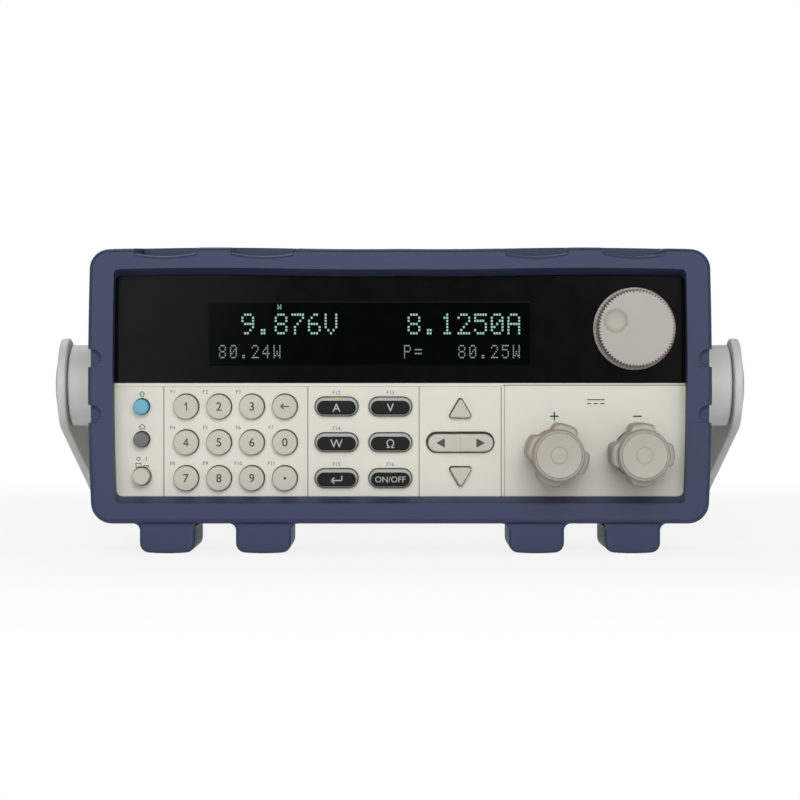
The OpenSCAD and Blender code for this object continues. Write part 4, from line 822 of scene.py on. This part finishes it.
class DCLOAD_OT_number_keys(bpy.types.Operator):
    """Moulds the round number keys"""

    bl_idname = "dc_load.number_keys"
    bl_label = "Number keys"

    def execute(self, context):
        for node in NUMBER_KEYS:
            round_button(node, "key_rubber")
        return {"FINISHED"}


def round_button(node, slot):
    """A turned button on the place of its node: flange, side, rounded edge and flat face."""
    _, sizes = setup()
    low, high = box_of(node)
    back, face, centre, half, _ = key_of(node)
    r, edge, flange = half + sizes["key_fill"], sizes["key_round"], (high[0] - low[0]) / 2
    profile = crown(r, back, face, edge, 0.3 * r)
    if flange > r + 0.1:
        profile = stepped(flange, back, back - FLANGE, r, face, edge, 0.3 * r)
    button = raised(rim([(0, 0)], 16), profile, centre - sizes["key_sag"])
    put("moulded_" + node, [button], slot, node, SLOTS[node], [node])


class DCLOAD_OT_function_keys(bpy.types.Operator):
    """Moulds the pill-shaped function keys: a frosted rim with a dark cap set into it"""

    bl_idname = "dc_load.function_keys"
    bl_label = "Function keys"

    def execute(self, context):
        cap_half, cap_r, lip, edge = 7.0, 2.5, 0.9, 0.45
        for node in FUNCTION_KEYS:
            back, face, centre, half_w, r = key_of(node)
            profile = stepped(r + lip, back, back - FLANGE, r, face, edge, 0.5 * r)
            outline = rim([(r - half_w, 0), (half_w - r, 0)], 25)
            pill = raised(outline, profile, centre)
            put("rim_" + node, [pill], "pill_plastic", node, SLOTS[node], [node])
            outline = rim([(cap_r - cap_half, -CAP_DROP), (cap_half - cap_r, -CAP_DROP)], 25)
            profile = crown(cap_r, face + 0.5, face - CAP_RISE, 0.2, 0.5 * cap_r)
            put("cap_" + node, [raised(outline, profile, centre)], "pill_cap", node, SLOTS[node])
        node = "current_key"
        _, face, centre, _, half_h = key_of(node)
        lamp = slab(centre + (0, half_h - 0.3), 1.6, 0.26, 0.25, face + 0.6, face - 0.03)
        put("lamp_" + node, [lamp], "lamp", node, SLOTS[node])
        return {"FINISHED"}


class DCLOAD_OT_arrow_keys(bpy.types.Operator):
    """Moulds the up and down keys and the left-right rocker"""

    bl_idname = "dc_load.arrow_keys"
    bl_label = "Arrow keys"

    def execute(self, context):
        _, sizes = setup()
        sag, r, lip = sizes["key_sag"], 0.75, 0.8
        for node, up in ARROW_KEYS.items():
            back, face, centre, half_w, half_h = key_of(node)
            core = np.array([(r - half_w, up * r), (half_w - r, up * r), (0, up * (2 * half_h - r))])
            profile = stepped(r + lip, back, back - FLANGE, r, face, 0.45, 0.12)
            key = raised(rim(core[::up], 9), profile, centre + (sag, -up * half_h - sag))
            put("moulded_" + node, [key], "key_rubber", node, SLOTS[node], [node])
        node, side, rib_r, rib_half = "left_right_rocker", 4.2, 0.8, 2.6
        back, face, centre, half_w, r = key_of(node)
        hung = centre + (sag, -1.8 * sag)
        profile = crown(r, face + side, face, sizes["key_round"], 0.3 * r)
        rocker = raised(rim([(r - half_w, 0), (half_w - r, 0)], 25), profile, hung)
        foot = slab(centre, rib_r, rib_half, 0.05, back - rib_r, face + side - 0.1, 0.02)
        rib = turned([(rib_r, -rib_half), (rib_r, rib_half)], (0, 0, 0), 0, 24)[..., [1, 2, 0]]
        rib = shell(rib + (centre[0], back - rib_r, centre[1]))
        put("moulded_rocker", [rocker, foot, rib], "key_rubber", node, SLOTS[node], [node])
        # Painted shade: a thin grey strip along the crease between the rocker's halves
        fold_shade = slab(hung, 0.11, r - 0.5, 0.05, face + 0.1, face - 0.01, 0.005)
        put("fold_shade_rocker", [fold_shade], "seam", node, SLOTS[node])
        return {"FINISHED"}


class DCLOAD_OT_buttons(bpy.types.Operator):
    """Moulds the shift, local and power buttons"""

    bl_idname = "dc_load.buttons"
    bl_label = "Buttons"

    def execute(self, context):
        _, sizes = setup()
        round_button("shift_button", "blue_plastic")
        round_button("local_button", "dark_grey_plastic")
        node, stem_r, plug = "power_button", 1.75, 7.75
        low, high = box_of(node)
        r = (high[0] - low[0]) / 2
        profile = stepped(stem_r, high[1], low[1] + plug, r, low[1], sizes["key_round"], 0.3 * r)
        button = raised(rim([(0, 0)], 16), profile, middle_of(node)[[0, 2]])
        put("moulded_" + node, [button], "key_rubber", node, SLOTS[node], [node])
        return {"FINISHED"}


# Tuning knob and terminals


class DCLOAD_OT_tuning_knob(bpy.types.Operator):
    """Moulds the tuning knob: skirt, knurl with pointed teeth, face with a finger dimple"""

    bl_idname = "dc_load.tuning_knob"
    bl_label = "Tuning knob"

    def execute(self, context):
        low, high = box_of("tuning_knob")
        centre, length, back = (low + high) / 2, high[1] - low[1], high[1]
        teeth, steps, tooth, rings = 72, 720, 0.88, 44
        skirt_r, base_r, front_r, base = 14.8, 14.2, 13.75, 1.8
        bore, bore_end, cavity_r, cavity_d = 3.02, length - 2, 7.7, 4.6
        dimple_off, dimple_at, dimple_r, dimple_d = 7.9, math.radians(161), 4.3, 1.15
        angle = np.linspace(0, 2 * np.pi, steps, endpoint=False)
        ridge = np.abs(2 * ((angle * teeth / (2 * np.pi)) % 1) - 1)
        quarter = np.linspace(0, math.pi / 2, 5)
        # Radius, distance from the back, share of the knurl, which is a triangle wave of the angle. Within
        # the dimple the face sinks by one less the fourth power of the distance from its middle
        rows = [(0.6, bore_end, 0), (bore, bore_end, 0), (bore, cavity_d, 0)]
        rows += [(cavity_r, cavity_d, 0), (cavity_r, 0, 0)]
        rows += [(skirt_r - 0.6 * (1 - math.sin(t)), 0.6 * (1 - math.cos(t)), 0) for t in quarter]
        rows += [(skirt_r - 0.5 * (1 - math.cos(t)), 0.9 + 0.5 * math.sin(t), 0) for t in quarter]
        rows += [(base_r + 0.06, 1.42, 0), (base_r, base, 1)]
        rows += [(base_r + (front_r - base_r) * s, base + (length - 2.5) * s, 1)
                 for s in np.linspace(0, 1, 9)[1:]]
        rows += [(front_r - 0.02, length - 0.22, 1), (front_r - 0.06, length - 0.06, 1),
                 (front_r - 0.14, length, 1)]
        rows += [(radius, length, 0) for radius in np.linspace(front_r - 1.5, 0.6, rings)]
        radius, along, share = np.array(rows).T
        radius = radius[:, None] - tooth * share[:, None] * ridge
        x, z = radius * np.cos(angle), radius * np.sin(angle)
        off = np.hypot(x - dimple_off * math.cos(dimple_at), z - dimple_off * math.sin(dimple_at))
        y = np.broadcast_to(back - along[:, None], off.shape).copy()
        y[-rings:] += dimple_d * (1 - np.minimum(off[-rings:] / dimple_r, 1) ** 4)
        knob = shell(np.stack([x + centre[0], y, z + centre[2]], 2))
        put("moulded_tuning_knob", [knob], "knob_plastic", "tuning", "knob_plastic", ["tuning_knob"])
        return {"FINISHED"}


class DCLOAD_OT_terminals(bpy.types.Operator):
    """Moulds the four-lobed terminal knobs"""

    bl_idname = "dc_load.terminals"
    bl_label = "Terminal knobs"

    def execute(self, context):
        lobe_r, cap_r, ring_r, core_r, bore = 11.2, 8.2, 9.1, 8.68, 3.05
        steps, lobes, edge, ring_start, shoulder = 288, 4, 0.5, 0.9, 1.7
        for side, lean in zip(TERMINALS, (-18.0, 0.0)):
            node = side + "_terminal_knob"
            low, high = box_of(node)
            centre, length, back = middle_of(side + "_washer"), high[1] - low[1], high[1]
            hole, top = back - box_of("terminal_studs")[0][1] + 0.8, length * LOBE_LENGTH
            angle = np.linspace(0, 2 * np.pi, steps, endpoint=False)
            turn = (angle - math.radians(90 + lean)) * lobes / (2 * np.pi)
            away = np.abs(turn - np.round(turn)) * 2 * np.pi / lobes
            # Radius, distance from the back, share of the lobes, each a smoothstep of the angle off it
            rows = [(0.4, hole, 0), (bore, hole, 0), (bore, 0, 0), (core_r - 0.6, 0, 0)]
            rows += [(core_r - edge * (1 - math.sin(t)), edge * (1 - math.cos(t)), math.sin(t))
                     for t in np.linspace(0.3, math.pi / 2, 4)]
            rows += [(core_r, length * part, 1) for part in np.linspace(0.05, LOBE_LENGTH, 9)]
            rows += [(core_r + (ring_r - core_r) * part, top + shoulder * (1 - (1 - part) ** 4), 1 - part)
                     for part in np.linspace(0, 1, 14)[1:]]
            rows += [(ring_r - 0.75 * (1 - math.cos(t)),
                      length * ring_start + (length * (1 - ring_start) - 0.35) * math.sin(t), 0)
                     for t in np.linspace(0.1, math.pi / 2, 8)]
            rows += [(cap_r + off, length - down, 0)
                     for off, down in ((0.02, 0.62), (-0.14, 0.62), (-0.22, 0.3), (-0.5, 0.04))]
            rows += [(r, length - 0.5 * (1 - (r / cap_r) ** 2), 0)
                     for r in np.linspace(cap_r - 0.9, 3.1, 10)]
            rows += [(r, length - down, 0)
                     for r, down in ((2.98, 0.6), (2.84, 0.6), (2.7, 0.36), (1.2, 0.34), (0.3, 0.34))]
            radius, along, share = np.array(rows).T
            flank = 1 - smooth(0.28, 0.62, away)
            wide = radius[:, None] + (lobe_r - core_r) * share[:, None] * flank
            x, z = wide * np.cos(angle) + centre[0], wide * np.sin(angle) + centre[2]
            y = np.broadcast_to((back - along)[:, None], wide.shape)
            knob = shell(np.stack([x, y, z], 2))
            put("moulded_" + node, [knob], "terminal_plastic", side + "_knob", "terminal_plastic", [node])
        return {"FINISHED"}


# Legends


def lettering(text, height, centre, front, back, weight=0.012):
    """Figures or letters as one solid print that faces -Y, centred on (x, z); weight thickens them."""
    capital = 0.69
    curve = bpy.data.curves.new("print", "FONT")
    curve.body, curve.size, curve.extrude = text, 1.0, 0.5
    curve.resolution_u, curve.offset = 4, weight
    maker = linked("print", curve)
    mesh = bpy.data.meshes.new_from_object(maker.evaluated_get(bpy.context.evaluated_depsgraph_get()))
    bpy.data.objects.remove(maker)
    bpy.data.curves.remove(curve)
    work = bmesh.new()
    work.from_mesh(mesh)
    bmesh.ops.remove_doubles(work, verts=work.verts, dist=1e-5)
    bmesh.ops.recalc_face_normals(work, faces=work.faces)
    bmesh.ops.triangulate(work, faces=work.faces)
    work.to_mesh(mesh)
    work.free()
    points = np.empty(3 * len(mesh.vertices))
    mesh.vertices.foreach_get("co", points)
    points = points.reshape(-1, 3)
    corners = np.empty(3 * len(mesh.polygons), int)
    mesh.polygons.foreach_get("vertices", corners)
    bpy.data.meshes.remove(mesh)
    flat = (points - (points.min(0) + points.max(0)) / 2) * height / capital
    y = np.where(points[:, 2] > 0, front, back)
    vertices = np.stack([flat[:, 0] + centre[0], y, flat[:, 1] + centre[1]], 1)
    return vertices, np.empty((0, 4), int), corners.reshape(-1, 3)


def patch(core, r, steps, centre, front, back):
    """A small flat print: the core's outline at radius r."""
    return raised(rim(core, steps), [(r, back), (r, front), (r / 4, front)], centre)


def strokes(paths, width, centre, front, back):
    """Straight strokes with round ends along paths of points (x, z) about the centre."""
    return [patch(line, width / 2, 6, centre, front, back)
            for path in paths for line in zip(path, path[1:])]


class DCLOAD_OT_legends(bpy.types.Operator):
    """Prints figures, units and plain symbols on the keys and the panel"""

    bl_idname = "dc_load.legends"
    bl_label = "Legends"

    def execute(self, context):
        _, sizes = setup()
        relief, height = sizes["legend_relief"], sizes["legend_height"]
        unit_h, word_h, mark_h = 2.9, 2.1, 1.35
        panel, plate = (box_of(node)[0][1] for node in ("front_bezel", "input_plate"))
        line, power_line, small_line, sign_line, direct_line = 0.42, 0.26, 0.24, 0.55, 0.4
        sign_z, direct_z, power_up = 48.85, 54.1, 3.1

        def on(face):
            """Front and back of a print on a face."""
            return face - relief, face + SOAK

        places = []
        for node, figure in NUMBER_KEYS.items():
            _, face, at, _, _ = key_of(node)
            if figure in STROKED:
                shells = strokes(np.array(STROKED[figure]) * height, 0.14 * height, at, *on(face))
            elif figure:
                shells = [lettering(figure, height, at, *on(face))]
            elif node == "key_point":
                shells = [patch([(0, 0)], 0.5, 6, at, *on(face))]
            else:
                shells = strokes(SYMBOLS["escape"], line, at, *on(face))
            put("legend_" + node, shells, "legend", node, SLOTS[node])
            if node != "key_escape":
                places.append(at + (-5.0, 5.25))
        for node in FUNCTION_KEYS:
            _, _, centre, _, half_h = key_of(node)
            if node != "resistance_key":
                places.append(centre + (0, half_h + SIGN_GAP))
        marks = [lettering(f"F{i + 1}", mark_h, at, *on(panel), 0) for i, at in enumerate(places)]
        put("second_legends", marks, "second_legend", "instrument", "ivory_plastic")

        for node, unit in FUNCTION_KEYS.items():
            _, face, centre, _, _ = key_of(node)
            at, front, back = centre - (0, CAP_DROP), face - CAP_RISE - relief, face - SOAK
            if unit:
                shells = [lettering(unit, unit_h if len(unit) == 1 else word_h, at, front, back, 0)]
            else:
                shells = strokes(SYMBOLS["enter"], line, at, front, back)
            put("legend_" + node, shells, "pale_legend", node, SLOTS[node])

        node = "left_right_rocker"
        _, face, centre, _, _ = key_of(node)
        arrow = np.array([(-1.55, 0), (1.1, -1.45), (1.1, 1.45)])
        arrows = [patch(arrow * s, 0.15, 4, centre + (0.1 - 6.9 * s, -0.2), *on(face)) for s in (-1, 1)]
        put("legend_rocker", arrows, "legend", node, SLOTS[node])

        signs, places = [], [middle_of(side + "_collar")[0] for side in TERMINALS]
        for side, x in zip(TERMINALS, places):
            signs += strokes(SYMBOLS[side], sign_line, (x, sign_z), *on(plate))
        signs += strokes(SYMBOLS["direct"], direct_line, (np.mean(places), direct_z), *on(plate))
        put("legend_terminals", signs, "legend", "instrument", "ivory_plastic")

        x, z = middle_of("power_button")[0], box_of("power_button")[1][2] + power_up
        front, back = on(panel)
        ring = turned([(0.72, back), (0.72, front), (0.46, front), (0.46, back)], (x - 1.3, 0, z), 1, 40)
        signs = strokes(SYMBOLS["power"], power_line, (x, z), front, back) + [shell(ring, ring=True)]
        for name in ("shift", "local"):
            _, _, centre, _, half_h = key_of(name + "_button")
            signs += strokes(SYMBOLS[name], small_line, centre + (0, half_h + SIGN_GAP), front, back)
        put("legend_power", signs, "legend", "instrument", "ivory_plastic")
        return {"FINISHED"}


# Case, rear fittings and stage


class DCLOAD_OT_case(bpy.types.Operator):
    """Gives every CAD node that still shows, and every inner one, the finish of its material slot"""

    bl_idname = "dc_load.case"
    bl_label = "Case finishes"

    def execute(self, context):
        for name, node in frame["nodes"].items():
            material = finish_of(SLOTS[name])
            if not node.material_slots:
                node.data.materials.append(material)
            for slot in node.material_slots:
                slot.material = material
        return {"FINISHED"}


def cup(outer, inner, centre, back, front, floor):
    """A socket that faces -Y: up its outer outline, over the rim and down its inner outline to the floor.
    An outline is a four-cornered core and a radius."""
    (outer_feet, outwards), (inner_feet, inwards) = rim(outer[0], 6), rim(inner[0], 6)
    outside, inside = outer_feet + outer[1] * outwards, inner_feet + inner[1] * inwards
    flat = np.stack([outside, outside, inside, inside, inside * 0.02])
    return stacked(flat, np.array([back, front, front, floor, floor]), centre)


def about(part):
    """A part turned half round the upright axis, so that what faced -Y faces +Y."""
    points, quads, fans = part
    return points * (-1, -1, 1), quads, fans


class DCLOAD_OT_ports(bpy.types.Operator):
    """Fits the rear ports: a nine-pin socket with two hexagon posts, and a square socket with a tongue"""

    bl_idname = "dc_load.ports"
    bl_label = "Rear ports"

    def execute(self, context):
        flange_w, flange_h, post_off, square_half = 16.0, 6.5, 12.6, 6.05
        node = "interface_ports"
        low, high = box_of(node)
        panel, tip, inner, up = -box_of("rear_panel")[1][1], -high[1], -low[1], middle_of(node)[2]
        serial, square = np.array([flange_w - high[0], up]), np.array([-low[0] - square_half, up])
        shape, mouth, box = trapezium(8.0, 7.2, 3.0), trapezium(4.2, 4.2, 3.9), trapezium(5.5, 5.5, 5.5)
        hexagon = [(2.3 * math.cos(t), 2.3 * math.sin(t)) for t in np.arange(6) * math.pi / 3]
        post = rim(hexagon, 3), crown(0.3, panel, tip + 1.0, 0.2, 0.1)
        shells = [slab(serial, flange_w, flange_h, 1.5, panel + 0.2, panel - 1.0, 0.2),
                  cup((shape, 1.5), (shape, 1.0), serial, panel, tip, panel - 1.4),
                  cup((box, square_half - 5.5), (mouth, 0.3), square, inner, panel - 1.0, panel + 6.0)]
        shells += [raised(*post, serial + (side * post_off, 0)) for side in (-1, 1)]
        shells = [about(part) for part in shells]
        put("port_shells", shells, "plain_steel", "instrument", SLOTS[node], [node])
        x = serial[0] + 2.75 * np.concatenate([np.arange(5) - 2, np.arange(4) - 1.5])
        z = serial[1] + np.repeat([1.42, -1.42], [5, 4])
        pins = dots(x, z, 0.42, 0.42, panel - 2.2, tip + 0.6)
        put("port_pins", [about(pins)], "stud_brass", "instrument", SLOTS[node])
        inserts = [raised(rim(shape, 6), crown(0.95, panel - 1.2, panel - 2.6, 0.1, 0.3), serial),
                   slab(square, 2.8, 1.6, 0.2, panel + 5.9, panel - 0.4, 0.1),
                   raised(rim([(-6.8, 0), (6.8, 0)], 9), crown(5.3, inner, panel + 1.5, 0.3, 2.0), serial)]
        inserts = [about(part) for part in inserts]
        put("port_inserts", inserts, "black_plastic", "instrument", SLOTS[node])
        return {"FINISHED"}


class DCLOAD_OT_stage(bpy.types.Operator):
    """Sets the floor, the soft lamps, the pale surroundings and the camera"""

    bl_idname = "dc_load.stage"
    bl_label = "Stage"

    def execute(self, context):
        scene = context.scene
        scene.view_settings.view_transform = "Standard"

        # Matt white paper, which goes over into plain white further off so that it has no visible end
        paper = bpy.data.materials.new("White paper")
        tree = blank(paper)
        place = add(tree, "ShaderNodeTexCoord", {}, {}).outputs["Object"]
        away = add(tree, "ShaderNodeVectorMath", {"operation": "LENGTH"}, {0: place})
        fade = {"From Min": 0.2, "From Max": 0.55, "To Min": 0.85, "interpolation_type": "SMOOTHSTEP"}
        far = add(tree, "ShaderNodeMapRange", fade, {"Value": away.outputs["Value"]})
        ray = add(tree, "ShaderNodeLightPath", {}, {})
        seen = joined(tree, "MAXIMUM", ray.outputs["Is Camera Ray"], ray.outputs["Is Glossy Ray"])
        seen = joined(tree, "MAXIMUM", seen, ray.outputs["Is Transmission Ray"])
        part = joined(tree, "MULTIPLY", seen, far.outputs["Result"])
        matt = add(tree, "ShaderNodeBsdfDiffuse", {"Color": (0.94, 0.94, 0.94, 1)}, {})
        white = add(tree, "ShaderNodeEmission", {"Color": (1, 1, 1, 1), "Strength": 1.0}, {})
        mix = add(tree, "ShaderNodeMixShader", {},
                  {0: part, 1: matt.outputs[0], 2: white.outputs[0]})
        add(tree, "ShaderNodeOutputMaterial", {}, {"Surface": mix.outputs[0]})
        mesh = bpy.data.meshes.new("floor")
        mesh.from_pydata([(-6, -6, 0), (6, -6, 0), (6, 6, 0), (-6, 6, 0)], [], [(0, 1, 2, 3)])
        mesh.materials.append(paper)
        linked("floor", mesh)

        # Pale surroundings: white behind and above, dim in front, where the dark lens looks
        world = bpy.data.worlds.new("Studio")
        tree = blank(world)
        toward = add(tree, "ShaderNodeTexCoord", {}, {}).outputs["Generated"]
        depth = add(tree, "ShaderNodeSeparateXYZ", {}, {0: toward}).outputs["Y"]
        levels = {"From Min": -1.0, "From Max": 0.1, "To Min": 0.14, "To Max": 0.24}
        level = add(tree, "ShaderNodeMapRange", levels, {"Value": depth})
        ray = add(tree, "ShaderNodeLightPath", {}, {})
        level = joined(tree, "MAXIMUM", level.outputs["Result"], ray.outputs["Is Camera Ray"])
        sky = add(tree, "ShaderNodeBackground", {"Color": (1, 1, 1, 1)}, {"Strength": level})
        add(tree, "ShaderNodeOutputWorld", {}, {"Surface": sky.outputs[0]})
        scene.world = world

        # Name, place, width, power
        lamps = (("key_lamp", (0.1, -1.75, 0.75), 1.1, 16.5), ("fill_lamp", (-0.55, -1.7, 0.3), 0.9, 5.6),
                 ("side_lamp", (0.6, -1.65, 0.3), 0.9, 3.2), ("back_lamp", (-0.3, 0.9, 1.2), 1.0, 6))
        for name, spot, width, power in lamps:
            lamp = bpy.data.lights.new(name, "AREA")
            lamp.shape, lamp.size, lamp.energy = "DISK", width, power
            holder = linked(name, lamp)
            aim = np.array((0, 0, 0.06)) - spot
            holder.location = spot
            tilt, turn = math.atan2(math.hypot(aim[0], aim[1]), -aim[2]), math.atan2(-aim[0], aim[1])
            holder.rotation_euler = (tilt, 0, turn)

        lens = bpy.data.cameras.new("camera")
        lens.sensor_width, lens.lens, lens.shift_y, lens.clip_end = 36, 119.07, -0.031, 20
        camera = linked("camera", lens)
        camera.location, camera.rotation_euler = (0, -1.1168, 0.0636), (math.pi / 2, 0, 0)
        scene.camera = camera
        return {"FINISHED"}


class DCLOAD_PT_panel(bpy.types.Panel):
    """Sidebar panel with the sizes, the colours and every step"""

    bl_idname = "DCLOAD_PT_panel"
    bl_label = "DC load"
    bl_space_type = "VIEW_3D"
    bl_region_type = "UI"
    bl_category = "DC load"

    def draw(self, context):
        for group in (context.scene.dc_load_sizes, context.scene.dc_load_colours):
            for key in group.__annotations__:
                self.layout.prop(group, key)
        for step in STEPS:
            self.layout.operator(step.bl_idname)


STEPS = (DCLOAD_OT_stage, DCLOAD_OT_case, DCLOAD_OT_bumpers, DCLOAD_OT_handle, DCLOAD_OT_panel,
         DCLOAD_OT_display, DCLOAD_OT_number_keys, DCLOAD_OT_function_keys, DCLOAD_OT_arrow_keys,
         DCLOAD_OT_buttons, DCLOAD_OT_tuning_knob, DCLOAD_OT_terminals, DCLOAD_OT_legends, DCLOAD_OT_ports)
CLASSES = (DcLoadColours, DcLoadSizes, *STEPS, DCLOAD_PT_panel)


def register():
    for item in CLASSES:
        bpy.utils.register_class(item)
    bpy.types.Scene.dc_load_colours = bpy.props.PointerProperty(type=DcLoadColours)
    bpy.types.Scene.dc_load_sizes = bpy.props.PointerProperty(type=DcLoadSizes)


def unregister():
    del bpy.types.Scene.dc_load_sizes
    del bpy.types.Scene.dc_load_colours
    for item in reversed(CLASSES):
        bpy.utils.unregister_class(item)


def main():
    register()
    for step in STEPS:
        getattr(bpy.ops.dc_load, step.bl_idname.split(".")[1])()


if __name__ == "__main__":
    main()
